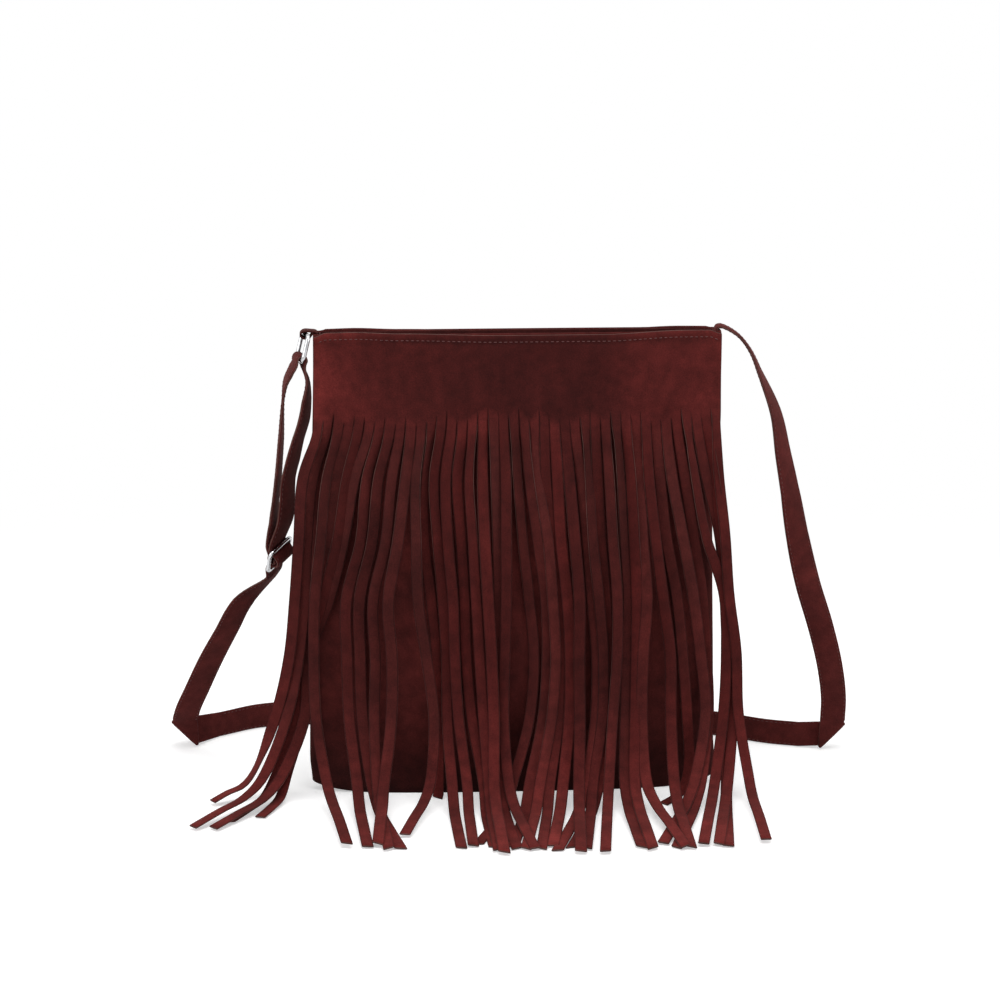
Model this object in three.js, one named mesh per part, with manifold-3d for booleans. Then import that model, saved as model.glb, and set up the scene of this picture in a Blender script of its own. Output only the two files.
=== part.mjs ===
// A fringed suede shoulder bag that stands on its base, stuffed to shape.
// Millimetres. +X is the right of the bag, +Y its back, +Z up. The origin is the middle of the flat base.

import * as THREE from "three";
import { mergeVertices } from "three/addons/utils/BufferGeometryUtils.js";
import Module from "manifold-3d";

const wasm = await Module();
wasm.setup();

// Body
const BAG_WIDTH = 250;
const BAG_HEIGHT = 283;
const BELLY_DEPTH = 38;
const BASE_DEPTH = 30;
const MOUTH_DEPTH = 20;
const MOUTH_END_WIDTH = 14;
const SEAM_WIDTH = 2.6;
const MOUTH_TAPER = 3;
const SUEDE = 1.2;
const CORNER_LIFT = 5;
const SECTION_POWER = 2.6;

// Fringe
const BAND_HEIGHT = 50;
const STRIP_COUNT = 40;
const STRIP_GAP = 0.3;
const STRIP_STEPS = 13;
const STRIP_TWIST = 28;
const LAYER_STEP = 1.5;
const BAND_SIDE_MARGIN = 1;

// Inside
const LINING = 0.6;
const FACING = 1;
const FACING_HEIGHT = 30;
const POCKET_WIDTH = 130;
const POCKET_HEIGHT = 105;
const POCKET_TOP = 215;

// Snap fastener
const SNAP_DIAMETER = 18;
const SNAP_STUD_THICKNESS = 2.4;
const SNAP_SOCKET_THICKNESS = 2;
const SNAP_NIPPLE_DIAMETER = 6;
const SNAP_NIPPLE_HEIGHT = 1.6;
const SNAP_DROP = 16;

// Strap and its metal
const STRAP_WIDTH = 16;
const STRAP = 1.8;
const STRAP_END_WIDTH = 10;
const STRAP_TAIL = 15;
const BAR = 2.7;
const SLIDER_BAR = 2.4;
const METAL_SIDE_PLAY = 0.75;
const RING_HEIGHT = 15.5;
const RING_TILT = 14;
const RING_YAW = 10;
const SLIDER_BAR_PITCH = 8;
const TAB_WIDTH = 10;

// The places of the strips and the strap were read at this size of bag, and scale with it
const READ_WIDTH = 250;
const READ_HEIGHT = 283;

const CLEARANCE = 0.3;
const WRAP_PLAY = 0.2;
const STUD_ROOT = 0.2;

// Small helpers

const vec = (x, y, z) => new THREE.Vector3(x, y, z);
const rad = THREE.MathUtils.degToRad;
const atWidth = (x) => (x * BAG_WIDTH) / READ_WIDTH;
const atHeight = (z) => (z * BAG_HEIGHT) / READ_HEIGHT;
const placed = (x, y, z) => vec(atWidth(x), y, atHeight(z));

function geometryFrom(points, triangles) {
  const geometry = new THREE.BufferGeometry();
  const flat = points.flatMap((p) => [p.x, p.y, p.z]);
  geometry.setAttribute("position", new THREE.Float32BufferAttribute(flat, 3));
  geometry.setIndex(triangles);
  return geometry;
}

// Skins a list of closed sections that have the same number of points. Each end gets a flat strip,
// which pairs a point with its mirror in the section, or the last section joins the first.
function loft(sections, joined = false) {
  const count = sections[0].length;
  const triangles = [];
  const bands = joined ? sections.length : sections.length - 1;
  for (let s = 0; s < bands; s++) {
    const next = (s + 1) % sections.length;
    for (let i = 0; i < count; i++) {
      const j = (i + 1) % count;
      const a = s * count + i;
      const b = s * count + j;
      const c = next * count + j;
      const d = next * count + i;
      triangles.push(a, b, c, a, c, d);
    }
  }
  if (!joined) {
    const last = (sections.length - 1) * count;
    for (let i = 0; i + 1 < count - 1 - i; i++) {
      const a = i;
      const b = i + 1;
      const c = count - 2 - i;
      const d = count - 1 - i;
      triangles.push(a, c, b);
      triangles.push(last + a, last + b, last + c);
      if (c > b) {
        triangles.push(a, d, c);
        triangles.push(last + a, last + c, last + d);
      }
    }
  }
  const good = triangles.filter((_, k) => {
    const t = triangles.slice(k - (k % 3), k - (k % 3) + 3);
    return t[0] !== t[1] && t[1] !== t[2] && t[0] !== t[2];
  });
  return outward(geometryFrom(sections.flat(), good));
}

function signedVolume(geometry) {
  const p = geometry.attributes.position;
  const index = geometry.index.array;
  const a = vec(0, 0, 0);
  const b = vec(0, 0, 0);
  const c = vec(0, 0, 0);
  let total = 0;
  for (let k = 0; k < index.length; k += 3) {
    a.fromBufferAttribute(p, index[k]);
    b.fromBufferAttribute(p, index[k + 1]);
    c.fromBufferAttribute(p, index[k + 2]);
    total += a.dot(b.cross(c)) / 6;
  }
  return total;
}

function outward(geometry) {
  if (signedVolume(geometry) < 0) {
    geometry.setIndex(Array.from(geometry.index.array).reverse());
  }
  return geometry;
}

function solid(geometry) {
  const bare = geometry.clone();
  bare.deleteAttribute("normal");
  bare.deleteAttribute("uv");
  const merged = mergeVertices(bare, 1e-4);
  const vertProperties = new Float32Array(merged.attributes.position.array);
  const triVerts = new Uint32Array(merged.index.array);
  return new wasm.Manifold(new wasm.Mesh({ numProp: 3, vertProperties, triVerts }));
}

function geometryOf(manifold) {
  const mesh = manifold.getMesh();
  const geometry = new THREE.BufferGeometry();
  geometry.setAttribute("position", new THREE.Float32BufferAttribute(mesh.vertProperties, 3));
  geometry.setIndex(Array.from(mesh.triVerts));
  return geometry;
}

function smooth(points, samples) {
  return new THREE.CatmullRomCurve3(points, false, "centripetal").getPoints(samples);
}

// A value that runs smoothly through [place, value] pairs.
function along(pairs, place) {
  const last = pairs.length - 1;
  if (place <= pairs[0][0]) return pairs[0][1];
  if (place >= pairs[last][0]) return pairs[last][1];
  const k = pairs.findIndex((p) => p[0] > place) - 1;
  const t = (place - pairs[k][0]) / (pairs[k + 1][0] - pairs[k][0]);
  return THREE.MathUtils.lerp(pairs[k][1], pairs[k + 1][1], t * t * (3 - 2 * t));
}

// The bag's form: half its width, half its depth, and half the flat end at the side seam, by height

const halfWidth = (z) => BAG_WIDTH / 2 - along([[0, 1.5], [20, 0], [140, 0], [BAG_HEIGHT, MOUTH_TAPER]], z);
const halfDepth = (z) =>
  along(
    [
      [0, BASE_DEPTH / 2],
      [60, BELLY_DEPTH / 2],
      [140, BELLY_DEPTH / 2],
      [BAG_HEIGHT, MOUTH_DEPTH / 2],
    ],
    z,
  );
const halfEnd = (z) => along([[200, SEAM_WIDTH / 2], [BAG_HEIGHT, MOUTH_END_WIDTH / 2]], z);

// Below the band the right side has slumped inward: how much narrower that half is, as a factor
const SIDE_SLUMP = 5.8;
const SLUMP_SHARES = [[0, 0.35], [39, 0.67], [165, 1], [235, 0]];
const slump = (x, z) => (x > 0 ? 1 - (SIDE_SLUMP * along(SLUMP_SHARES, z)) / halfWidth(z) : 1);

function depthAt(x, z, inset = 0, endInset = inset) {
  const half = halfWidth(z) - endInset;
  const end = halfEnd(z) - 0.45 * inset;
  const share = Math.min(1, Math.abs(x / slump(x, z)) / half) ** SECTION_POWER;
  return end + (halfDepth(z) - inset - end) * Math.sqrt(1 - share);
}

const SIDE_POINTS = 17;

function bagSection(z, inset, endInset = inset, lifted = true) {
  const half = halfWidth(z) - endInset;
  const front = [];
  for (let i = 0; i < SIDE_POINTS; i++) {
    const even = -half * Math.cos((Math.PI * i) / (SIDE_POINTS - 1));
    const x = even * slump(even, z);
    const share = Math.max(0, (Math.abs(even) - 0.6 * half) / (0.4 * half));
    const rise = lifted ? CORNER_LIFT * share ** 3 * Math.max(0, 1 - z / 60) ** 2 : 0;
    front.push(vec(x, -depthAt(x, z, inset, endInset), z + rise));
  }
  const back = front.map((p) => vec(p.x, -p.y, p.z)).reverse();
  return [...front, ...back];
}

const BODY_LEVELS = [0, 3, 12, 32, 60, 100, 140, 180, 215, 245, 268, BAG_HEIGHT];

function cup(levels, outerInset, thickness, floor, endInset = outerInset) {
  const outer = levels.map((z) => bagSection(Math.max(z, floor), outerInset, endInset));
  const inner = levels
    .map((z) => bagSection(Math.max(z, floor + thickness), outerInset + thickness, endInset + thickness))
    .reverse();
  return loft([...outer, ...inner]);
}

const FACING_END_INSET = SUEDE + CLEARANCE + STRAP + CLEARANCE;

function bodyShell() {
  return cup(BODY_LEVELS, 0, SUEDE, 0);
}

function lining() {
  const top = BAG_HEIGHT - FACING_HEIGHT - CLEARANCE;
  const floor = SUEDE + CLEARANCE;
  const levels = [floor, ...BODY_LEVELS.filter((z) => z > floor && z < top), top];
  return cup(levels, SUEDE + CLEARANCE, LINING, floor, FACING_END_INSET);
}

function mouthFacing() {
  const bottom = BAG_HEIGHT - FACING_HEIGHT;
  const levels = [bottom, bottom + FACING_HEIGHT / 2, BAG_HEIGHT - CLEARANCE];
  const inset = SUEDE + CLEARANCE;
  const outer = levels.map((z) => bagSection(z, inset, FACING_END_INSET));
  const inner = levels.map((z) => bagSection(z, inset + FACING, FACING_END_INSET + FACING)).reverse();
  return loft([...outer, ...inner], true);
}

// A curved sheet that follows the front (side -1) or the back (side 1) of the bag at a depth inset
function followingSheet(side, xFrom, xTo, xSteps, levels, inset, thickness, endInset = inset) {
  const sections = [];
  for (let i = 0; i <= xSteps; i++) {
    const turn = Math.cos((Math.PI * i) / xSteps);
    const x = (xFrom + xTo) / 2 - ((xTo - xFrom) / 2) * turn;
    const at = (z, depth) => vec(x, side * depthAt(x, z, depth, endInset), z);
    const outer = levels.map((z) => at(z, inset));
    const inner = levels.map((z) => at(z, inset + thickness)).reverse();
    sections.push([...outer, ...inner]);
  }
  return loft(sections);
}

const POCKET_INSET = SUEDE + LINING + 4 * CLEARANCE;

function slipPocket() {
  const levels = [0, 0.35, 0.7, 1].map((t) => POCKET_TOP - POCKET_HEIGHT * (1 - t));
  const half = POCKET_WIDTH / 2;
  return followingSheet(1, -half, half, 8, levels, POCKET_INSET, LINING, FACING_END_INSET);
}

// The fringe. Each strip hangs from its place in the band, follows the bag's front and then runs out
// over the floor. Its line says where it is across the bag at six heights, where its tip lies, and
// which layer of the bunch it hangs in: [x at each height, tip x, tip y, layer].
const HEIGHTS = [197, 160, 123, 87, 50, 16];
const STRIPS = [
  [-129, -132, -135, -139, -148, -162, -186, -32, 5],
  [-123, -127, -129, -133, -141, -156, -196, -78, 4],
  [-115, -119, -123, -124, -123, -117, -106, -116, 6],
  [-109, -114, -123, -128, -130, -145, -184, -79, 3],
  [-103, -109, -118, -128, -134, -148, -175, -67, 2],
  [-98, -105, -114, -127, -131, -141, -157, -58, 1],
  [-91, -95, -104, -104, -103, -99, -94, -117, 2],
  [-84, -88, -96, -96, -95, -90, -75, -120, 1],
  [-76, -80, -88, -87, -88, -87, -82, -122, 3],
  [-68, -73, -79, -77, -78, -83, -88, -116, 5],
  [-62, -62, -61, -56, -52, -55, -72, -99, 4],
  [-56, -57, -53, -50, -49, -49, -50, -26, 0],
  [-51, -49, -46, -44, -44, -42, -40, -121, 1],
  [-44, -43, -40, -39, -37, -33, -33, -119, 2],
  [-37, -35, -33, -32, -29, -23, -21, -120, 0],
  [-30, -28, -26, -24, -22, -20, -19, -127, 2],
  [-22, -21, -19, -17, -16, -17, -16, -134, 4],
  [-14, -13, -12, -12, -12, -13, -8, -124, 1],
  [-8, -8, -8, -9, -10, -8, 2, -127, 3],
  [-1, 2, 6, 9, 6, -5, -30, -114, 0],
  [6, 11, 16, 17, 14, 5, -10, -121, 1],
  [11, 17, 20, 22, 19, 11, -3, -126, 2],
  [16, 20, 25, 27, 24, 17, 6, -125, 1],
  [23, 25, 29, 31, 30, 25, 13, -122, 2],
  [30, 33, 36, 36, 36, 34, 28, -135, 4],
  [37, 41, 44, 47, 46, 39, 15, -129, 1],
  [42, 44, 48, 51, 50, 43, 32, -127, 2],
  [47, 49, 52, 54, 53, 47, 24, -123, 0],
  [54, 56, 59, 59, 56, 52, 42, -136, 4],
  [61, 63, 66, 65, 64, 62, 64, -127, 2],
  [67, 69, 71, 71, 70, 68, 70, -131, 3],
  [72, 74, 77, 75, 74, 75, 89, -130, 4],
  [78, 82, 87, 92, 92, 92, 92, -130, 3],
  [85, 89, 96, 100, 103, 104, 86, -46, 0],
  [92, 99, 106, 111, 114, 106, 77, -121, 2],
  [100, 106, 112, 115, 116, 110, 84, -128, 1],
  [106, 113, 125, 127, 125, 118, 100, -126, 4],
  [113, 122, 126, 128, 128, 125, 114, -128, 2],
  [118, 123, 127, 131, 131, 126, 109, -126, 3],
  [121, 125, 128, 133, 134, 138, 137, -122, 5],
];

const SLIT_TOP = BAG_HEIGHT - BAND_HEIGHT;
const BAND_INSET = -CLEARANCE - SUEDE;
const STRIP_PITCH = (BAG_WIDTH - 2 * MOUTH_TAPER) / STRIP_COUNT;
const STRIP_WIDTH = STRIP_PITCH - STRIP_GAP;
const STRIP_THICKNESS = SUEDE - 0.1;
const TIP_LIFT = 0.8;
const EDGE_STAND = 5;

const rootOf = (index) => -BAG_WIDTH / 2 + MOUTH_TAPER + STRIP_PITCH * (index + 0.5);

// The strips leave the band square to it, turn on their length just under it, each its own way, and
// lie flat again at the tip
function stripTurn(index, share) {
  const own = STRIP_TWIST * Math.sin(2.4 * index + 0.6);
  const root = rootOf(index);
  const half = STRIP_WIDTH / 2;
  const slope = Math.atan2(depthAt(root + half, SLIT_TOP) - depthAt(root - half, SLIT_TOP), STRIP_WIDTH);
  const turn = rad(own) * along([[0, 0], [0.09, 1], [0.3, 0.6], [0.5, 0]], share);
  return turn + slope * along([[0, 1], [0.12, 0]], share);
}

function stripSection(centre, tangent, turn, share) {
  const level = vec(-tangent.y, tangent.x, 0).normalize();
  const sideways = vec(1, 0, 0).lerp(level, along([[0.7, 0], [0.9, 1]], share));
  sideways.addScaledVector(tangent, -tangent.dot(sideways)).normalize();
  const out = tangent.clone().cross(sideways).normalize();
  const across = sideways.clone().multiplyScalar(Math.cos(turn)).addScaledVector(out, Math.sin(turn));
  const face = tangent.clone().cross(across).normalize();
  const corner = (s, t) =>
    centre
      .clone()
      .addScaledVector(across, (s * STRIP_WIDTH) / 2)
      .addScaledVector(face, (t * STRIP_THICKNESS) / 2);
  return [corner(-1, -1), corner(1, -1), corner(1, 1), corner(-1, 1)];
}

function strip(index) {
  const line = STRIPS[index % STRIPS.length];
  const seen = line.slice(0, HEIGHTS.length).map(atWidth);
  const [tipRead, yTip, layer] = line.slice(HEIGHTS.length);
  const xTip = atWidth(tipRead);
  const heights = HEIGHTS.map(atHeight);
  const root = rootOf(index);
  const stand = (share) =>
    SUEDE / 2 +
    2 * CLEARANCE +
    (STRIP_WIDTH / 2) * Math.abs(Math.sin(stripTurn(index, share))) +
    layer * LAYER_STEP * along([[0, 0], [0.3, 1], [1, 1]], share);
  const edge = BAG_WIDTH / 2 - STRIP_WIDTH;
  const front = (x, z, share) => {
    const widest = depthAt(Math.sign(x) * Math.max(0, Math.abs(x) - STRIP_WIDTH / 2), z);
    const clearOfSide = Math.abs(x) > edge ? halfEnd(z) + EDGE_STAND : 0;
    return vec(x, -Math.max(widest, clearOfSide) - stand(share), z);
  };
  const top = SLIT_TOP + 3;
  const under = SLIT_TOP - 12;
  const path = [
    vec(root, -depthAt(root, top) - CLEARANCE - SUEDE / 2, top),
    front(root + (seen[0] - root) * 0.2, under, 0.05),
    front(seen[0], heights[0], 0.13),
    front(seen[1], heights[1], 0.25),
    front(seen[2], heights[2], 0.37),
    front(seen[3], heights[3], 0.5),
  ];
  const yHang = path[5].y;
  const reach = yTip - yHang;
  const lie = TIP_LIFT + layer * LAYER_STEP * 0.8;
  const towardTip = (share) => seen[5] + (xTip - seen[5]) * share;
  path.push(
    vec(seen[4], yHang + reach * 0.06, heights[4]),
    vec(seen[5], yHang + reach * 0.24, heights[5]),
    vec(towardTip(0.26), yHang + reach * 0.42, lie + 2.5),
    vec(towardTip(0.62), yHang + reach * 0.7, lie),
    vec(xTip, yTip, TIP_LIFT + layer * LAYER_STEP * 0.3),
  );
  const centres = smooth(path, STRIP_STEPS);
  const last = centres.length - 1;
  const sections = centres.map((centre, i) => {
    const before = centres[Math.max(0, i - 1)];
    const after = centres[Math.min(last, i + 1)];
    const tangent = i === 0 ? vec(0, 0, -1) : after.clone().sub(before).normalize();
    centre.z = Math.max(centre.z, TIP_LIFT);
    return stripSection(centre, tangent, stripTurn(index, i / last), i / last);
  });
  return loft(sections);
}

function fringePanel() {
  const half = BAG_WIDTH / 2 - MOUTH_TAPER - BAND_SIDE_MARGIN;
  const levels = [SLIT_TOP, (SLIT_TOP + BAG_HEIGHT) / 2, BAG_HEIGHT];
  const band = followingSheet(-1, -half, half, 20, levels, BAND_INSET, SUEDE);
  let whole = solid(band);
  for (let i = 0; i < STRIP_COUNT; i++) {
    whole = whole.add(solid(strip(i)));
  }
  return geometryOf(whole.asOriginal());
}

// The magnetic snap: a stud on the front facing, a socket on the back one, and a washer behind each

const SNAP_HEIGHT = BAG_HEIGHT - SNAP_DROP;
const FACING_INNER = SUEDE + CLEARANCE + FACING;

function disc(diameter, thickness, side, from) {
  const geometry = new THREE.CylinderGeometry(diameter / 2, diameter / 2, thickness, 20);
  geometry.translate(0, side * (from - thickness / 2), SNAP_HEIGHT);
  return geometry;
}

function snapInnerFace() {
  const lowest = SNAP_HEIGHT + SNAP_DIAMETER / 2;
  return depthAt(SNAP_DIAMETER / 2, lowest, FACING_INNER, FACING_END_INSET) - CLEARANCE;
}

function snapSocket() {
  return disc(SNAP_DIAMETER, SNAP_SOCKET_THICKNESS, 1, snapInnerFace());
}

function snapStud() {
  const from = snapInnerFace();
  const plate = solid(disc(SNAP_DIAMETER, SNAP_STUD_THICKNESS, -1, from));
  const depth = from - SNAP_STUD_THICKNESS + STUD_ROOT;
  const nipple = solid(disc(SNAP_NIPPLE_DIAMETER, SNAP_NIPPLE_HEIGHT + STUD_ROOT, -1, depth));
  return geometryOf(plate.add(nipple));
}

// The strap ring and the tab that holds it

const TOP_BAR = vec(
  -(BAG_WIDTH / 2 - MOUTH_TAPER) - SUEDE - CLEARANCE - BAR,
  0,
  BAG_HEIGHT - CLEARANCE - WRAP_PLAY,
);
const RING_ACROSS = vec(Math.sin(rad(RING_YAW)), -Math.cos(rad(RING_YAW)), 0);
const RING_OUT = vec(-Math.cos(rad(RING_YAW)), -Math.sin(rad(RING_YAW)), 0);
const RING_DOWN = RING_OUT.clone().multiplyScalar(Math.sin(rad(RING_TILT))).setZ(-Math.cos(rad(RING_TILT)));
const RING_FACE = RING_OUT.clone().multiplyScalar(Math.cos(rad(RING_TILT))).setZ(Math.sin(rad(RING_TILT)));
const LOWER_BAR = TOP_BAR.clone().addScaledVector(RING_DOWN, RING_HEIGHT);
const METAL_HALF = STRAP_WIDTH / 2 + METAL_SIDE_PLAY;

// A wire loop: round bar swept along a closed path of points in one plane
function wireLoop(points, normal, diameter, sides = 8) {
  const sections = points.map((p, i) => {
    const before = points[(i + points.length - 1) % points.length];
    const after = points[(i + 1) % points.length];
    const tangent = after.clone().sub(before).normalize();
    const side = tangent.clone().cross(normal).normalize();
    const ring = [];
    for (let k = 0; k < sides; k++) {
      const a = (2 * Math.PI * k) / sides;
      ring.push(
        p
          .clone()
          .addScaledVector(side, (Math.cos(a) * diameter) / 2)
          .addScaledVector(normal, (Math.sin(a) * diameter) / 2),
      );
    }
    return ring;
  });
  return loft(sections, true);
}

// The centre line of a rectangle with round corners, about a centre, along two directions
function roundedRectangle(centre, across, down, halfAcross, halfDown, radius, cornerSteps = 4) {
  const points = [];
  const corners = [
    [1, 1, 0],
    [-1, 1, 90],
    [-1, -1, 180],
    [1, -1, 270],
  ];
  for (const [s, t, start] of corners) {
    for (let k = 0; k <= cornerSteps; k++) {
      const a = rad(start + (90 * k) / cornerSteps);
      points.push(
        centre
          .clone()
          .addScaledVector(across, s * (halfAcross - radius) + radius * Math.cos(a))
          .addScaledVector(down, t * (halfDown - radius) + radius * Math.sin(a)),
      );
    }
  }
  return points;
}

function strapRing() {
  const centre = TOP_BAR.clone().addScaledVector(RING_DOWN, RING_HEIGHT / 2);
  const half = METAL_HALF + BAR / 2;
  const path = roundedRectangle(centre, RING_ACROSS, RING_DOWN, half, RING_HEIGHT / 2, 3.2);
  return wireLoop(path, RING_FACE, BAR);
}

// A tab of doubled suede: round the ring's top bar, over the rim and down inside the mouth's left end
function ringTab() {
  const inner = BAR / 2 + 0.4;
  const ply = 1;
  const outer = inner + ply;
  const slack = (TAB_WIDTH / 2) * Math.tan(rad(RING_YAW));
  const wallOutside = -(BAG_WIDTH / 2 - MOUTH_TAPER);
  const wallInside = wallOutside + SUEDE + CLEARANCE;
  const tailInside = wallInside + 2 * ply - 0.2;
  const rimTop = BAG_HEIGHT + CLEARANCE;
  const turn = (degrees, radius) => [
    TOP_BAR.x + (radius + slack) * Math.cos(rad(degrees)),
    TOP_BAR.z + radius * Math.sin(rad(degrees)),
  ];
  const outline = new THREE.Shape();
  outline.moveTo(tailInside, BAG_HEIGHT - STRAP_TAIL);
  outline.lineTo(tailInside, rimTop + 0.6);
  outline.lineTo(tailInside - 1.4, rimTop + 2 * ply - 0.2);
  outline.lineTo(TOP_BAR.x + 1.2, rimTop + 2 * ply - 0.2);
  for (let a = 80; a <= 330; a += 25) {
    outline.lineTo(...turn(a, outer));
  }
  outline.lineTo(wallOutside - CLEARANCE, rimTop - 1.2);
  outline.lineTo(wallOutside - CLEARANCE, rimTop);
  outline.lineTo(wallInside, rimTop);
  outline.lineTo(wallInside, BAG_HEIGHT - STRAP_TAIL);
  outline.closePath();
  const hole = new THREE.Path();
  const first = turn(0, inner);
  hole.moveTo(...first);
  for (let a = 30; a < 360; a += 30) {
    hole.lineTo(...turn(a, inner));
  }
  hole.closePath();
  outline.holes.push(hole);
  const geometry = new THREE.ExtrudeGeometry(outline, { depth: TAB_WIDTH, bevelEnabled: false, steps: 1 });
  geometry.translate(0, 0, -TAB_WIDTH / 2);
  geometry.rotateX(Math.PI / 2);
  return geometry;
}

// The slider: an oblong frame with a middle bar, hung on the strap

const SLIDER_CENTRE = placed(-144.3, 10, 145.9);
const SLIDER_ACROSS = vec(0.6, 0.69, 0.4).normalize();
const SLIDER_HANG = vec(-0.34, 0.3, -0.89);
const SLIDER_DOWN = SLIDER_HANG.clone()
  .addScaledVector(SLIDER_ACROSS, -SLIDER_HANG.dot(SLIDER_ACROSS))
  .normalize();
const SLIDER_FACE = SLIDER_DOWN.clone().cross(SLIDER_ACROSS).normalize();

function strapSlider() {
  const half = METAL_HALF + SLIDER_BAR / 2;
  const frame = roundedRectangle(
    SLIDER_CENTRE,
    SLIDER_ACROSS,
    SLIDER_DOWN,
    half,
    SLIDER_BAR_PITCH,
    2.4,
    3,
  );
  const loop = solid(wireLoop(frame, SLIDER_FACE, SLIDER_BAR));
  const bar = new THREE.CylinderGeometry(SLIDER_BAR / 2, SLIDER_BAR / 2, 2 * half, 8);
  bar.applyQuaternion(new THREE.Quaternion().setFromUnitVectors(vec(0, 1, 0), SLIDER_ACROSS));
  bar.translate(SLIDER_CENTRE.x, SLIDER_CENTRE.y, SLIDER_CENTRE.z);
  return geometryOf(loop.add(solid(bar)));
}

// The strap: one ribbon from the right end of the mouth, down to a fold on the floor, round the back,
// up from a second fold, through the slider, round the ring and back to the slider's middle bar.

const inSlider = (down, out) =>
  SLIDER_CENTRE.clone().addScaledVector(SLIDER_DOWN, down).addScaledVector(SLIDER_FACE, out);
const strapWrap = (bar) => bar / 2 + CLEARANCE + STRAP / 2;

function ribbonSection(centre, halfAcross, face) {
  const corner = (s, t) =>
    centre
      .clone()
      .addScaledVector(halfAcross, s)
      .addScaledVector(face, (t * STRAP) / 2);
  return [corner(-1, -1), corner(1, -1), corner(1, 1), corner(-1, 1)];
}

// Sections along a run of stations [centre, direction across the strap, width]
function ribbonRun(stations, steps) {
  const centres = smooth(stations.map((s) => s[0]), (stations.length - 1) * steps);
  const curve = new THREE.CatmullRomCurve3(stations.map((s) => s[0]), false, "centripetal");
  const sections = [];
  const total = (stations.length - 1) * steps;
  for (let i = 0; i <= total; i++) {
    const place = i / steps;
    const k = Math.min(stations.length - 2, Math.floor(place));
    const t = place - k;
    const across = stations[k][1].clone().lerp(stations[k + 1][1], t);
    const width = THREE.MathUtils.lerp(stations[k][2], stations[k + 1][2], t);
    const tangent = curve.getTangent(i / total);
    across.addScaledVector(tangent, -across.dot(tangent)).normalize();
    const face = tangent.clone().cross(across).normalize();
    sections.push(ribbonSection(centres[i], across.multiplyScalar(width / 2), face));
  }
  return sections;
}

// A diagonal fold: the strap turns over a crease, from one flat ply in front to one behind
function foldSections(centre, creaseAlong, outward, inFront) {
  const half = creaseAlong.clone().multiplyScalar((STRAP_WIDTH / 2) * Math.SQRT2);
  const gap = STRAP / 2 + CLEARANCE + WRAP_PLAY;
  const sections = [];
  for (let k = 0; k <= 4; k++) {
    const a = (Math.PI * k) / 4;
    const face = vec(0, inFront ? -1 : 1, 0)
      .multiplyScalar(Math.cos(a))
      .addScaledVector(outward, Math.sin(a));
    sections.push(ribbonSection(centre.clone().addScaledVector(face, gap), half, face));
  }
  return sections;
}

const FOLD_HEIGHT = STRAP_WIDTH / 2 + 2;
const RIGHT_FOLD = vec(atWidth(206), 62, FOLD_HEIGHT);
const LEFT_FOLD = vec(atWidth(-207), 92, FOLD_HEIGHT);
const FLOOR_RUN = [
  [186, 68], [166, 76], [140, 93], [95, 112], [40, 123],
  [-20, 129], [-80, 134], [-130, 136], [-160, 131], [-186, 113],
];

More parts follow.
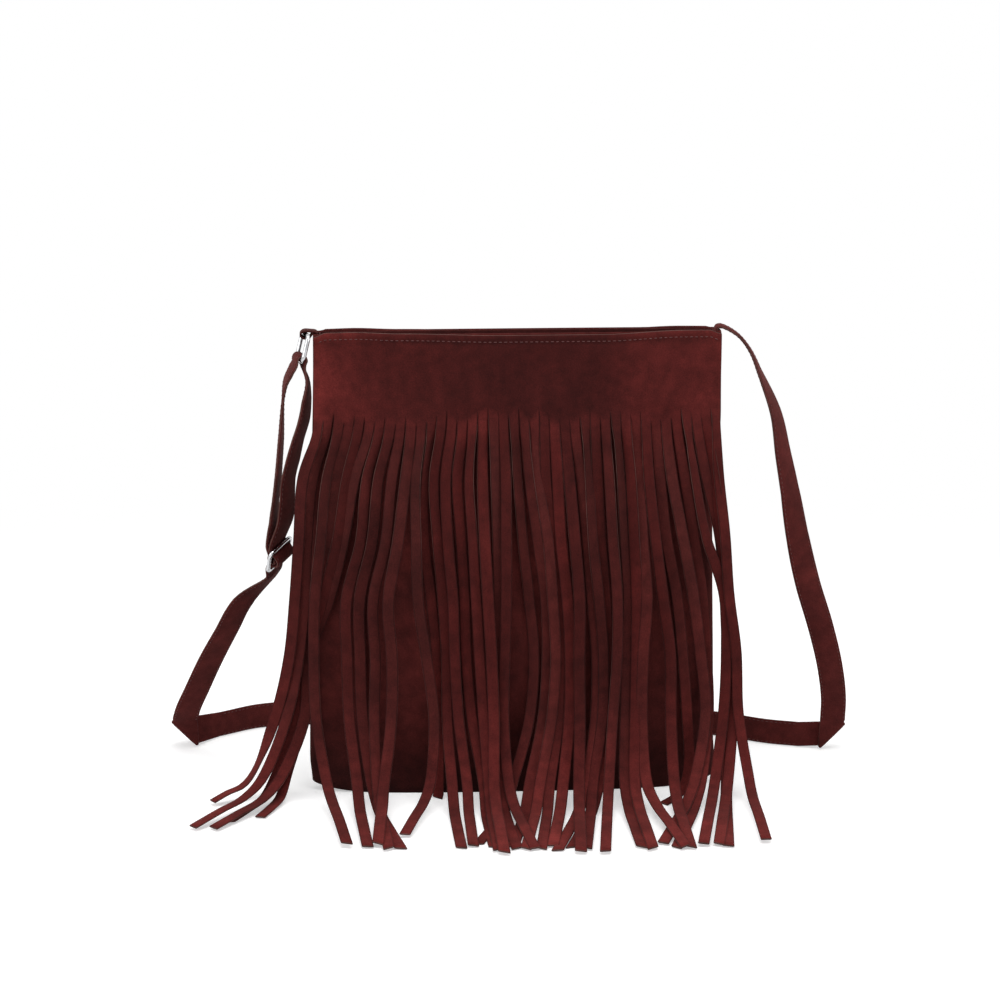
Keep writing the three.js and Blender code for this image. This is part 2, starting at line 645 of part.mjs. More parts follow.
function shoulderStrap() {
  const sideways = vec(0, 1, 0);
  const tailX = BAG_WIDTH / 2 - MOUTH_TAPER - SUEDE - CLEARANCE - STRAP / 2;
  const overRim = BAG_HEIGHT + CLEARANCE + STRAP / 2;
  const rightRun = [
    [vec(tailX, 0, BAG_HEIGHT - STRAP_TAIL), sideways, STRAP_END_WIDTH],
    [vec(tailX - 0.1, 0, BAG_HEIGHT - 1), sideways, STRAP_END_WIDTH],
    [vec(tailX + 0.3, 0, overRim), sideways, STRAP_END_WIDTH],
    [vec(tailX + 1.6, 0, overRim + 0.9), sideways, STRAP_END_WIDTH],
    [vec(tailX + 4.2, 0, overRim + 0.5), sideways, STRAP_END_WIDTH + 2],
    [placed(132.5, 1.5, 279.5), sideways, STRAP_WIDTH],
    [placed(141, 5, 269), vec(0.1, 1, 0), STRAP_WIDTH],
    [placed(148, 8, 254), vec(0.22, 1, 0), STRAP_WIDTH],
    [placed(158.5, 12, 229), vec(0.55, 1, 0), STRAP_WIDTH],
    [placed(164, 15, 203), vec(0.9, 1, 0), STRAP_WIDTH],
    [placed(169, 18, 180), vec(1.2, 1, 0), STRAP_WIDTH],
    [placed(175, 22, 150), vec(2.1, 1, 0), STRAP_WIDTH],
    [placed(183, 28, 119), vec(4, 1, 0), STRAP_WIDTH],
    [placed(193.5, 37, 88), vec(1, 0, 0), STRAP_WIDTH],
    [placed(201.5, 46, 60), vec(1, 0, 0), STRAP_WIDTH],
    [placed(206, 55, 36), vec(1, 0, 0), STRAP_WIDTH],
    [placed(206.5, 59.5, 20), vec(1, 0, 0), STRAP_WIDTH],
  ];
  const diagonal = Math.SQRT1_2;
  const rightFold = foldSections(RIGHT_FOLD, vec(diagonal, 0, diagonal), vec(diagonal, 0, -diagonal), true);
  const floorStations = FLOOR_RUN.map(([x, y]) => [
    vec(atWidth(x), y, STRAP_WIDTH / 2 + 0.5),
    vec(0, 0, 1),
    STRAP_WIDTH,
  ]);
  const leftFold = foldSections(LEFT_FOLD, vec(-diagonal, 0, diagonal), vec(-diagonal, 0, -diagonal), false);
  const weave = SLIDER_ACROSS.clone().negate();
  const ringTurn = strapWrap(BAR) + WRAP_PLAY;
  const round = (degrees) =>
    LOWER_BAR.clone()
      .addScaledVector(RING_FACE, ringTurn * Math.cos(rad(degrees)))
      .addScaledVector(RING_DOWN, -ringTurn * Math.sin(rad(degrees)));
  const barTurn = strapWrap(SLIDER_BAR);
  const roundBar = (degrees) => inSlider(barTurn * Math.sin(rad(degrees)), barTurn * Math.cos(rad(degrees)));
  const clearBar = SLIDER_BAR / 2 + CLEARANCE + STRAP / 2;
  const overBar = barTurn + STRAP + CLEARANCE;
  const behindBoth = clearBar + STRAP + 2 * CLEARANCE;
  const leftRun = [
    [placed(-207.2, 86, 20), vec(-1, 0, 0), STRAP_WIDTH],
    [placed(-204.5, 78, 30), vec(-1, -0.15, 0.05), STRAP_WIDTH],
    [placed(-198.8, 69, 44), vec(-1, -0.3, 0.2), STRAP_WIDTH],
    [placed(-188.8, 54, 68), vec(-0.95, -0.4, 0.25), STRAP_WIDTH],
    [placed(-178, 38, 91), vec(-0.9, -0.5, 0.2), STRAP_WIDTH],
    [placed(-166.9, 25, 113), vec(-0.8, -0.5, 0.1), STRAP_WIDTH],
    [inSlider(SLIDER_BAR_PITCH + 12, -1.6), weave.clone(), STRAP_WIDTH],
    [inSlider(SLIDER_BAR_PITCH + 1.5, -clearBar), weave.clone(), STRAP_WIDTH],
    [inSlider(SLIDER_BAR_PITCH - 2, -clearBar + 0.7), weave.clone(), STRAP_WIDTH],
    [inSlider(SLIDER_BAR_PITCH / 2, 1.9), weave.clone(), STRAP_WIDTH],
    [inSlider(1.6, overBar - 0.1), weave.clone(), STRAP_WIDTH],
    [inSlider(-1.6, overBar), weave.clone(), STRAP_WIDTH],
    [inSlider(-SLIDER_BAR_PITCH / 2, 2.4), weave.clone(), STRAP_WIDTH],
    [inSlider(-SLIDER_BAR_PITCH + 1.2, -clearBar), weave.clone(), STRAP_WIDTH],
    [inSlider(-SLIDER_BAR_PITCH - 1.5, -clearBar - 0.3), weave.clone(), STRAP_WIDTH],
    [placed(-140.2, 4, 168.4), vec(-0.6, -0.75, -0.3), STRAP_WIDTH],
    [placed(-138.8, 4, 180.7), vec(-0.52, -0.8, -0.2), STRAP_WIDTH],
    [placed(-138, 4, 193), vec(-0.52, -0.85, -0.15), STRAP_WIDTH],
    [placed(-135, 4, 205.3), vec(-0.52, -0.85, -0.1), STRAP_WIDTH],
    [placed(-131.8, 4, 217.5), vec(-0.43, -0.9, 0), STRAP_WIDTH],
    [placed(-128, 4, 229.7), vec(-0.41, -0.91, 0), STRAP_WIDTH],
    [placed(-126.3, 3.5, 242), vec(-0.3, -0.95, 0), STRAP_WIDTH],
    [placed(-125.8, 1.5, 254), vec(-0.05, -1, 0), STRAP_WIDTH],
    [round(205).addScaledVector(RING_DOWN, 2), RING_ACROSS.clone(), STRAP_WIDTH],
    [round(160), RING_ACROSS.clone(), STRAP_WIDTH],
    [round(115), RING_ACROSS.clone(), STRAP_WIDTH],
    [round(65), RING_ACROSS.clone(), STRAP_WIDTH],
    [round(20), RING_ACROSS.clone(), STRAP_WIDTH],
    [round(-25).addScaledVector(RING_DOWN, 2), RING_ACROSS.clone(), STRAP_WIDTH],
    [placed(-135.3, 0.2, 260.5), RING_ACROSS.clone(), STRAP_WIDTH],
    [placed(-138.8, 3.2, 252.5), vec(0.1, -1, 0), STRAP_WIDTH],
    [placed(-140.4, 5, 242), vec(0, -1, 0), STRAP_WIDTH],
    [placed(-142, 5, 217.5), vec(-0.15, -1, 0), STRAP_WIDTH],
    [placed(-144.2, 5, 193), vec(-0.2, -1, 0), STRAP_WIDTH],
    [placed(-145.8, 5, 180.6), vec(-0.2, -1, -0.05), STRAP_WIDTH],
    [placed(-147, 5.5, 168.2), vec(-0.3, -0.95, -0.15), STRAP_WIDTH],
    [inSlider(-SLIDER_BAR_PITCH, -behindBoth), weave.clone(), STRAP_WIDTH],
    [inSlider(-3, -barTurn - 0.1), weave.clone(), STRAP_WIDTH],
    [roundBar(180), weave.clone(), STRAP_WIDTH],
    [roundBar(135), weave.clone(), STRAP_WIDTH],
    [roundBar(90), weave.clone(), STRAP_WIDTH],
    [roundBar(45), weave.clone(), STRAP_WIDTH],
    [roundBar(0), weave.clone(), STRAP_WIDTH],
    [roundBar(-40), weave.clone(), STRAP_WIDTH],
  ];
  return loft([
    ...ribbonRun(rightRun, 2),
    ...rightFold,
    ...ribbonRun(floorStations, 2),
    ...leftFold,
    ...ribbonRun(leftRun, 2),
  ]);
}

// The finished assembly

const suede = new THREE.MeshStandardMaterial({ color: 0x4a1a1c, roughness: 0.95, metalness: 0 });
const cloth = new THREE.MeshStandardMaterial({ color: 0x15100f, roughness: 0.9, metalness: 0 });
const chrome = new THREE.MeshStandardMaterial({ color: 0xd8dadd, roughness: 0.12, metalness: 1 });

const bag = new THREE.Group();

function place(name, geometry, material) {
  const mesh = new THREE.Mesh(geometry, material);
  mesh.name = name;
  bag.add(mesh);
}

place("body_shell", bodyShell(), suede);
place("fringe_panel", fringePanel(), suede);
place("mouth_facing", mouthFacing(), suede);
place("lining", lining(), cloth);
place("slip_pocket", slipPocket(), cloth);
place("snap_stud", snapStud(), chrome);
place("snap_socket", snapSocket(), chrome);
place("ring_tab", ringTab(), suede);
place("strap_ring", strapRing(), chrome);
place("strap_slider", strapSlider(), chrome);
place("shoulder_strap", shoulderStrap(), suede);

export default bag;
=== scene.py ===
# A fringed suede shoulder bag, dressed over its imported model.
# Shapes are worked out in millimetres and made in metres, in the frame of the model.

import math
import random

import bpy
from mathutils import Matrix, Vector


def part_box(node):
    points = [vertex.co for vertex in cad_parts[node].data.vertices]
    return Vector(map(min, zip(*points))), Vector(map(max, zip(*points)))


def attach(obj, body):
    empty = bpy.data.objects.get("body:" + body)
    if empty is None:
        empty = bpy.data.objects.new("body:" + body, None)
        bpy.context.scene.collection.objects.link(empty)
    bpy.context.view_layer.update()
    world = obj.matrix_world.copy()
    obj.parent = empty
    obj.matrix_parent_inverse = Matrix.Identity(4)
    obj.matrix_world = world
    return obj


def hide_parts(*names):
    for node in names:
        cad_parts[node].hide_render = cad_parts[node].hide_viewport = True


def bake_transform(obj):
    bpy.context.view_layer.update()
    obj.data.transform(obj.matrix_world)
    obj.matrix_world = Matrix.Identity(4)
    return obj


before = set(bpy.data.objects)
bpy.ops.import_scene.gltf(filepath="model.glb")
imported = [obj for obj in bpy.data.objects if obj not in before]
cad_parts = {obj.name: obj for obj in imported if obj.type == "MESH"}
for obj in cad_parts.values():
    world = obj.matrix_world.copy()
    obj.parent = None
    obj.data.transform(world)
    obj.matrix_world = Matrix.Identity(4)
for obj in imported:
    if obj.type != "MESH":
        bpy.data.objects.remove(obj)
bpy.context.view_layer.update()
MM = 0.001

# Sizes of the body, in millimetres

BAG_WIDTH = 250
BAG_HEIGHT = 283
BELLY_DEPTH = 38
BASE_DEPTH = 30
MOUTH_DEPTH = 20
MOUTH_END_WIDTH = 14
SEAM_WIDTH = 2.6
MOUTH_TAPER = 3
SUEDE = 1.2
CORNER_LIFT = 5
SECTION_POWER = 2.6
SIDE_SLUMP = 5.8
CLEARANCE = 0.3

# Sizes of the fringe

STRIP_COUNT = 40
STRIP_GAP = 0.3
LAYER_STEP = 1.5
SLIT_TOP = 233
STRIP_PITCH = (BAG_WIDTH - 2 * MOUTH_TAPER) / STRIP_COUNT
STRIP_WIDTH = STRIP_PITCH - STRIP_GAP
STRIP_THICKNESS = 1.1
TIP_LIFT = 0.8
EDGE_STAND = 5
SPREAD = 1.13

# Sizes of the strap and its metal

STRAP_WIDTH = 16
STRAP = 1.8
STRAP_END_WIDTH = 10
STRAP_TAIL = 15
BAR = 2.7
SLIDER_BAR = 2.4
METAL_SIDE_PLAY = 0.75
RING_HEIGHT = 15.5
RING_TILT = math.radians(14)
RING_YAW = math.radians(10)
SLIDER_BAR_PITCH = 8
TAB_WIDTH = 10
WRAP_PLAY = 0.2

# The photograph's view: the camera's place in millimetres, and its middle and focal length in pixels

VIEW_TURN = math.radians(3.5)
VIEW_BACK = 1750
VIEW_HEIGHT = 560
VIEW_AIM = math.atan((VIEW_HEIGHT - 140) / VIEW_BACK)
FOCAL = 2960
PICTURE_X = 517
PICTURE_Y = 563.9
PICTURE_MIDDLE = 500

# Helpers


def along(pairs, place):
    """A value that runs smoothly through (place, value) pairs."""
    if place <= pairs[0][0]:
        return pairs[0][1]
    for (a, va), (b, vb) in zip(pairs, pairs[1:]):
        if place < b:
            t = (place - a) / (b - a)
            return va + (vb - va) * t * t * (3 - 2 * t)
    return pairs[-1][1]


def spline_point(corners, share):
    """A point on the middle stretch of a centripetal spline through four points."""
    p0, p1, p2, p3 = corners
    t1 = max((p1 - p0).length, 1e-6) ** 0.5
    t2 = t1 + max((p2 - p1).length, 1e-6) ** 0.5
    t3 = t2 + max((p3 - p2).length, 1e-6) ** 0.5
    t = t1 + (t2 - t1) * share
    a1 = p0 * ((t1 - t) / t1) + p1 * (t / t1)
    a2 = p1 * ((t2 - t) / (t2 - t1)) + p2 * ((t - t1) / (t2 - t1))
    a3 = p2 * ((t3 - t) / (t3 - t2)) + p3 * ((t - t2) / (t3 - t2))
    b1 = a1 * ((t2 - t) / t2) + a2 * (t / t2)
    b2 = a2 * ((t3 - t) / (t3 - t1)) + a3 * ((t - t1) / (t3 - t1))
    return b1 * ((t2 - t) / (t2 - t1)) + b2 * ((t - t1) / (t2 - t1))


def smooth_path(points, samples):
    """Evenly spaced points on a centripetal spline through the given ones."""
    pts = [Vector(p) for p in points]
    first = pts[0] * 2 - pts[1]
    last = pts[-1] * 2 - pts[-2]
    pts = [first, *pts, last]
    fine = []
    for k in range(1, len(pts) - 2):
        fine += [spline_point(pts[k - 1 : k + 3], j / 12) for j in range(12)]
    fine.append(pts[-2])
    return resample(fine, samples)


def resample(fine, samples):
    lengths = [0.0]
    for a, b in zip(fine, fine[1:]):
        lengths.append(lengths[-1] + (b - a).length)
    out = []
    k = 0
    for j in range(samples + 1):
        want = lengths[-1] * j / samples
        while k < len(lengths) - 2 and lengths[k + 1] < want:
            k += 1
        step = max(lengths[k + 1] - lengths[k], 1e-9)
        out.append(fine[k].lerp(fine[k + 1], (want - lengths[k]) / step))
    return out


def piece(name, verts, faces, body="bag", marks=()):
    """A mesh from points in millimetres. marks gives each face's material number."""
    mesh = bpy.data.meshes.new(name)
    mesh.from_pydata([tuple(Vector(v) * MM) for v in verts], [], faces)
    mesh.validate()
    mesh.update()
    obj = bpy.data.objects.new(name, mesh)
    bpy.context.collection.objects.link(obj)
    mesh.polygons.foreach_set("use_smooth", [True] * len(mesh.polygons))
    if marks:
        mesh.polygons.foreach_set("material_index", marks)
    if body:
        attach(obj, body)
    return obj


def skin(sections, joined=False, capped=True):
    """Faces over closed sections that have the same number of points."""
    count = len(sections[0])
    verts = [p for s in sections for p in s]
    faces = []
    bands = len(sections) if joined else len(sections) - 1
    for s in range(bands):
        n = (s + 1) % len(sections)
        for i in range(count):
            j = (i + 1) % count
            faces.append((s * count + i, s * count + j, n * count + j, n * count + i))
    if capped and not joined:
        faces.append(tuple(reversed(range(count))))
        faces.append(tuple(len(verts) - count + i for i in range(count)))
    return verts, faces


def outward(obj):
    """Turns the faces of a closed mesh to point out."""
    import bmesh

    bm = bmesh.new()
    bm.from_mesh(obj.data)
    bmesh.ops.recalc_face_normals(bm, faces=bm.faces)
    bm.to_mesh(obj.data)
    bm.free()
    return obj


# The bag's form


def half_width(z):
    return BAG_WIDTH / 2 - along([(0, 1.5), (20, 0), (140, 0), (BAG_HEIGHT, MOUTH_TAPER)], z)


def half_depth(z):
    belly = BELLY_DEPTH / 2
    return along([(0, BASE_DEPTH / 2), (60, belly), (140, belly), (BAG_HEIGHT, MOUTH_DEPTH / 2)], z)


def half_end(z):
    return along([(200, SEAM_WIDTH / 2), (BAG_HEIGHT, MOUTH_END_WIDTH / 2)], z)


def slump(x, z):
    """How much narrower the right half is below the band, where that side has slumped inward."""
    if x <= 0:
        return 1 + 2.4 * along([(0, 1), (50, 0.8), (110, 0)], z) / half_width(z)
    return 1 - SIDE_SLUMP * along([(0, 0.35), (39, 0.67), (165, 1), (235, 0)], z) / half_width(z)


def depth_at(x, z, inset=0.0, end_inset=None):
    half = half_width(z) - (inset if end_inset is None else end_inset)
    end = half_end(z) - 0.45 * inset
    share = min(1.0, abs(x / slump(x, z)) / half) ** SECTION_POWER
    return end + (half_depth(z) - inset - end) * math.sqrt(1 - share)


RIM_LINE = [
    (-122, -1.7),
    (-114, 1.2),
    (-98, 1.5),
    (-70, 0.5),
    (-10, -1.0),
    (50, -1.0),
    (98, 1.0),
    (114, 0.9),
    (122, -1.7),
]


def rim_lift(x, z):
    """How far the rim stands above or below its level line: slack in the middle, rounded at the ends."""
    return along(RIM_LINE, x) * along([(SLIT_TOP + 8, 0), (BAG_HEIGHT, 1)], z)


def corner_rise(x, z, half):
    share = max(0.0, (abs(x) - 0.6 * half) / (0.4 * half))
    return CORNER_LIFT * share**3 * max(0.0, 1 - z / 60) ** 2


def bag_ring(z, inset, steps, end_inset=None, lifted=True, swell=None):
    """The points round the bag at one height, from the left side over the front to the right and back."""
    half = half_width(z) - (inset if end_inset is None else end_inset)
    front = []
    for i in range(steps + 1):
        even = -half * math.cos(math.pi * i / steps)
        x = even * slump(even, z)
        y = -depth_at(x, z, inset, end_inset)
        rise = corner_rise(even, z, half) if lifted else 0.0
        front.append((x, y, z + rise))
    back = [(x, -y, h) for x, y, h in reversed(front)]
    ring = [Vector(p) for p in front + back]
    if swell:
        ring = [swell(p) for p in ring]
    return ring


# Materials


def node(tree, kind, **values):
    made = tree.nodes.new(kind)
    for key, value in values.items():
        setattr(made, key, value)
    return made


def noise(tree, vector, scale, detail=3.0, rough=0.55):
    made = node(tree, "ShaderNodeTexNoise")
    made.inputs["Scale"].default_value = scale
    made.inputs["Detail"].default_value = detail
    made.inputs["Roughness"].default_value = rough
    tree.links.new(vector, made.inputs["Vector"])
    return made.outputs["Fac"]


def ramp(tree, value, stops):
    made = node(tree, "ShaderNodeValToRGB")
    elements = made.color_ramp.elements
    while len(elements) < len(stops):
        elements.new(0.5)
    for element, (place, colour) in zip(elements, stops):
        element.position = place
        element.color = (*colour, 1)
    tree.links.new(value, made.inputs["Fac"])
    return made.outputs["Color"]


def multiply(tree, a, b):
    """Two colours multiplied."""
    made = node(tree, "ShaderNodeMix", data_type="RGBA", blend_type="MULTIPLY")
    made.inputs["Factor"].default_value = 1.0
    tree.links.new(a, made.inputs["A"])
    tree.links.new(b, made.inputs["B"])
    return made.outputs["Result"]


def math_node(tree, kind, a, b):
    made = node(tree, "ShaderNodeMath", operation=kind)
    for socket, value in zip(made.inputs, (a, b)):
        if hasattr(value, "links"):
            tree.links.new(value, socket)
        else:
            socket.default_value = value
    return made.outputs[0]


def new_material(name):
    made = bpy.data.materials.new(name)
    made.use_nodes = True
    tree = made.node_tree
    return made, tree, tree.nodes["Principled BSDF"]


SUEDE_NAP = 0.22
SUEDE_BUMP = 0.35


def suede(name, colour, patch, sheen, toned=False):
    """Napped suede: brushed patches, a fine nap, and a soft sheen."""
    made, tree, shader = new_material(name)
    place = node(tree, "ShaderNodeTexCoord").outputs["Object"]
    patches = noise(tree, place, 34, 4, 0.6)
    smudges = noise(tree, place, 140, 3, 0.6)
    fine = noise(tree, place, 1500, 2, 0.6)
    dark = tuple(c * (1 - patch) for c in colour)
    light = tuple(c * (1 + patch * 1.15) for c in colour)
    base = ramp(tree, patches, [(0.32, dark), (0.5, colour), (0.68, light)])
    grey = ramp(tree, smudges, [(0.3, (0.78,) * 3), (0.7, (1.22,) * 3)])
    base = multiply(tree, base, grey)
    fibre = ramp(tree, fine, [(0.3, (1 - SUEDE_NAP,) * 3), (0.7, (1 + SUEDE_NAP,) * 3)])
    base = multiply(tree, base, fibre)
    # The tone attribute carries each piece's own tone together with painted light and shade.
    if toned:
        tone = node(tree, "ShaderNodeAttribute", attribute_name="tone").outputs["Color"]
        base = multiply(tree, base, tone)
    tree.links.new(base, shader.inputs["Base Color"])
    shader.inputs["Roughness"].default_value = 0.92
    shader.inputs["Specular IOR Level"].default_value = 0.12
    shader.inputs["Sheen Weight"].default_value = sheen
    shader.inputs["Sheen Roughness"].default_value = 0.45
    shader.inputs["Sheen Tint"].default_value = (0.6, 0.3, 0.27, 1)
    height = math_node(tree, "ADD", fine, math_node(tree, "MULTIPLY", smudges, 0.5))
    push = node(tree, "ShaderNodeBump")
    push.inputs["Strength"].default_value = SUEDE_BUMP
    push.inputs["Distance"].default_value = 0.0004
    tree.links.new(height, push.inputs["Height"])
    tree.links.new(push.outputs["Normal"], shader.inputs["Normal"])
    return made


def chrome():
    made, tree, shader = new_material("chrome")
    place = node(tree, "ShaderNodeTexCoord").outputs["Object"]
    haze = noise(tree, place, 220, 4, 0.6)
    wear = ramp(tree, haze, [(0.35, (0.09,) * 3), (0.75, (0.2,) * 3)])
    tree.links.new(wear, shader.inputs["Roughness"])
    tint = ramp(tree, haze, [(0.3, (0.4, 0.405, 0.415)), (0.7, (0.62, 0.625, 0.64))])
    tree.links.new(tint, shader.inputs["Base Color"])
    shader.inputs["Metallic"].default_value = 1.0
    return made


def woven(name, colour, pitch=0.0006):
    """A thin plain weave for the lining."""
    made, tree, shader = new_material(name)
    place = node(tree, "ShaderNodeTexCoord").outputs["Object"]
    waves = []
    for direction in ("X", "Z"):
        wave = node(tree, "ShaderNodeTexWave", wave_type="BANDS", bands_direction=direction)
        wave.inputs["Scale"].default_value = 1 / pitch / math.tau
        wave.inputs["Distortion"].default_value = 0.4
        tree.links.new(place, wave.inputs["Vector"])
        waves.append(wave.outputs["Fac"])
    cross = math_node(tree, "MAXIMUM", waves[0], waves[1])
    blotch = noise(tree, place, 60, 3, 0.6)
    dark = tuple(c * 0.6 for c in colour)
    base = ramp(tree, cross, [(0.2, dark), (0.9, colour)])
    base = multiply(tree, base, ramp(tree, blotch, [(0.3, (0.8,) * 3), (0.7, (1.2,) * 3)]))
    tree.links.new(base, shader.inputs["Base Color"])
    shader.inputs["Roughness"].default_value = 0.7
    shader.inputs["Sheen Weight"].default_value = 0.15
    push = node(tree, "ShaderNodeBump")
    push.inputs["Strength"].default_value = 0.25
    push.inputs["Distance"].default_value = 0.0002
    tree.links.new(cross, push.inputs["Height"])
    tree.links.new(push.outputs["Normal"], shader.inputs["Normal"])
    return made


def thread(name, colour):
    made, tree, shader = new_material(name)
    place = node(tree, "ShaderNodeTexCoord").outputs["Object"]
    twist = noise(tree, place, 2600, 2, 0.5)
    dark = tuple(c * 0.6 for c in colour)
    tree.links.new(ramp(tree, twist, [(0.35, dark), (0.65, colour)]), shader.inputs["Base Color"])
    shader.inputs["Roughness"].default_value = 0.55
    shader.inputs["Sheen Weight"].default_value = 0.03
    return made


SUEDE_STRIP = suede("suede strip", (0.064, 0.0084, 0.0074), patch=0.2, sheen=0.08, toned=True)
# The body's suede is a little darker than the strips' suede: painted shade behind the strips.
SUEDE_BODY_SHADED = suede("suede body", (0.058, 0.0086, 0.0076), patch=0.25, sheen=0.08, toned=True)
SUEDE_STRAP = suede("suede strap", (0.068, 0.0105, 0.0093), patch=0.2, sheen=0.1)
SUEDE_TAB = suede("suede tab", (0.042, 0.0075, 0.0066), patch=0.2, sheen=0.1)
SUEDE_EDGE = suede("suede cut edge", (0.075, 0.033, 0.028), patch=0.3, sheen=0.12)
LINING_CLOTH = woven("lining cloth", (0.02, 0.014, 0.014))
CHROME = chrome()
STITCH = thread("stitch", (0.085, 0.0125, 0.0108))

# The body: one folded piece of suede with soft dents, its rim, and a seam down each side


def dent(p):
    """Soft dents and a slack drape in the walls, none at the rim or the base."""
    x, y, z = p
    free = along([(0, 0), (40, 1), (225, 1), (262, 0)], z)
    inner = along([(0, 1), (95, 1), (BAG_WIDTH / 2, 0)], abs(x))
    wave = 1.1 * math.sin(x / 23 + z / 61 + 0.8) + 0.8 * math.sin(x / 13 - z / 37 + 2.1)
    wave += 0.7 * math.sin(z / 17 + x / 45)
    side = 1 if y > 0 else -1
    depth = (wave - 1.2) * free * inner
    return Vector((x, y + side * min(0.6, depth) * (1 if y > 0 else 0.4), z + rim_lift(x, z)))


def body_levels(step=6.0):
    top = BAG_HEIGHT
    count = int(top / step)
    return [0, 1.2, 3, 5.5, 9, *[9 + (top - 12) * i / count for i in range(1, count + 1)], top - 1, top]


def side_seam(ring, z):
    """Pulls the ends of a ring in to a groove, where the two sides are joined."""
    out = []
    for p in ring:
        half = half_width(min(z, BAG_HEIGHT)) * slump(p.x, z)
        near = max(0.0, 1 - abs(p.y) / 1.4) if abs(abs(p.x) - half) < 1.5 else 0.0
        out.append(Vector((p.x - math.copysign(0.9 * near, p.x), p.y, p.z)))
    return out


def make_body():
    steps = 44
    levels = body_levels()
    outer = [side_seam(bag_ring(z, 0, steps, swell=dent), z) for z in levels]
    outer[0] = bag_ring(0, 0.8, steps)
    rim = [
        bag_ring(BAG_HEIGHT + 0.3, 0.25, steps),
        bag_ring(BAG_HEIGHT + 0.35, 0.6, steps),
        bag_ring(BAG_HEIGHT + 0.3, 0.95, steps),
    ]
    inner = [bag_ring(max(z, SUEDE + 0.1), SUEDE, steps, swell=dent) for z in reversed(levels)]
    verts, faces = skin([*outer, *rim, *inner], capped=False)
    count = 2 * (steps + 1)
    total = len(verts)
    for start, flip in ((0, True), (total - count, False)):
        for i in range(steps):
            quad = (start + i, start + i + 1, start + count - 2 - i, start + count - 1 - i)
            faces.append(tuple(reversed(quad)) if flip else quad)
    body = outward(piece("bag_body", verts, faces))
    body.data.materials.append(SUEDE_BODY_SHADED)
    # Painted shade: the body's colour darkens towards the floor, at its foot behind the strips.
    tones = [along([(0, 0.3), (10, 0.45), (45, 1)], p.z) for p in verts]
    colour = body.data.color_attributes.new("tone", "FLOAT_COLOR", "POINT")
    colour.data.foreach_set("color", [v for t in tones for v in (t, t, t, 1)])
    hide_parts("body_shell")
    return body


# The fringe. Each strip was read in the photograph, in pixels: its place across the picture at
# six rows, its tip, and the layer of the bunch that it hangs in: (x at each row, tip x, tip y, layer).

READ_ROWS = (480, 540, 600, 660, 720, 780)
STRIP_READINGS = [
    (303, 298, 295, 289, 276, 251, 213, 804, 5),
    (312, 307, 305, 300, 287, 265, 194, 829, 4),
    (326, 320, 315, 314, 315, 325, 346, 847, 6),
    (337, 329, 315, 307, 306, 283, 213, 829, 3),
    (346, 337, 323, 308, 299, 276, 230, 822, 2),
    (355, 345, 331, 309, 303, 287, 260, 817, 1),
    (366, 361, 347, 347, 349, 357, 367, 847, 2),
    (378, 372, 360, 360, 362, 370, 400, 848, 1),
    (391, 386, 373, 375, 375, 377, 388, 849, 3),
    (405, 398, 387, 392, 392, 384, 378, 846, 5),
    (416, 415, 418, 427, 434, 430, 405, 836, 4),
    (425, 424, 431, 437, 439, 440, 438, 797, 0),
    (434, 437, 442, 446, 448, 452, 461, 847, 1),
    (445, 448, 452, 455, 459, 466, 472, 846, 2),
    (457, 460, 464, 466, 472, 484, 494, 846, 0),
    (469, 472, 476, 479, 483, 489, 497, 850, 2),
    (482, 485, 488, 492, 493, 494, 504, 854, 4),
    (495, 497, 499, 500, 500, 500, 516, 848, 1),
    (506, 506, 506, 504, 503, 508, 533, 849, 3),
    (518, 522, 529, 534, 529, 514, 478, 843, 0),
    (529, 538, 545, 548, 543, 531, 512, 846, 1),
    (538, 547, 553, 556, 552, 541, 526, 849, 2),
    (546, 552, 560, 564, 560, 550, 541, 848, 1),
    (557, 561, 567, 571, 570, 563, 553, 846, 2),
    (570, 574, 579, 579, 579, 579, 580, 853, 4),
    (581, 588, 592, 597, 596, 588, 556, 850, 1),
    (589, 593, 599, 604, 602, 594, 585, 848, 2),
    (598, 601, 606, 609, 608, 600, 572, 846, 0),
    (609, 613, 617, 617, 613, 609, 604, 853, 4),
    (621, 624, 628, 627, 626, 625, 641, 847, 2),
    (632, 634, 637, 636, 635, 635, 651, 849, 3),
    (640, 643, 646, 643, 642, 646, 684, 848, 4),
    (650, 656, 664, 671, 671, 674, 689, 848, 3),
    (661, 668, 678, 684, 688, 690, 664, 803, 0),
    (673, 684, 694, 703, 708, 697, 662, 843, 2),
    (686, 695, 704, 709, 711, 703, 676, 847, 1),
    (696, 707, 726, 728, 725, 716, 702, 845, 4),
    (708, 722, 728, 731, 731, 728, 727, 846, 2),
    (716, 724, 730, 735, 736, 730, 718, 845, 3),
    (721, 726, 730, 738, 741, 750, 765, 842, 5),]
HEIGHTS = (197, 160, 123, 87, 50, 16)
FLOOR_SHARES = (0, 0, 0, 0, 0.06, 0.24)
HANG_HIGH = -22
HANG_LOW = -24
PIXELS_PER_MM = 1.7
STRIP_ROWS = 64
ACROSS = (-1.0, -0.78, 0.0, 0.78, 1.0)


def in_picture(x, y, z):
    """The pixel at which the photograph shows a place."""
    sideways = x * math.cos(VIEW_TURN) - y * math.sin(VIEW_TURN)
    away = x * math.sin(VIEW_TURN) + y * math.cos(VIEW_TURN) + VIEW_BACK
    depth = away * math.cos(VIEW_AIM) + (VIEW_HEIGHT - z) * math.sin(VIEW_AIM)
    rise = away * math.sin(VIEW_AIM) + (z - VIEW_HEIGHT) * math.cos(VIEW_AIM)
    return PICTURE_X + FOCAL * sideways / depth, PICTURE_Y - FOCAL * rise / depth


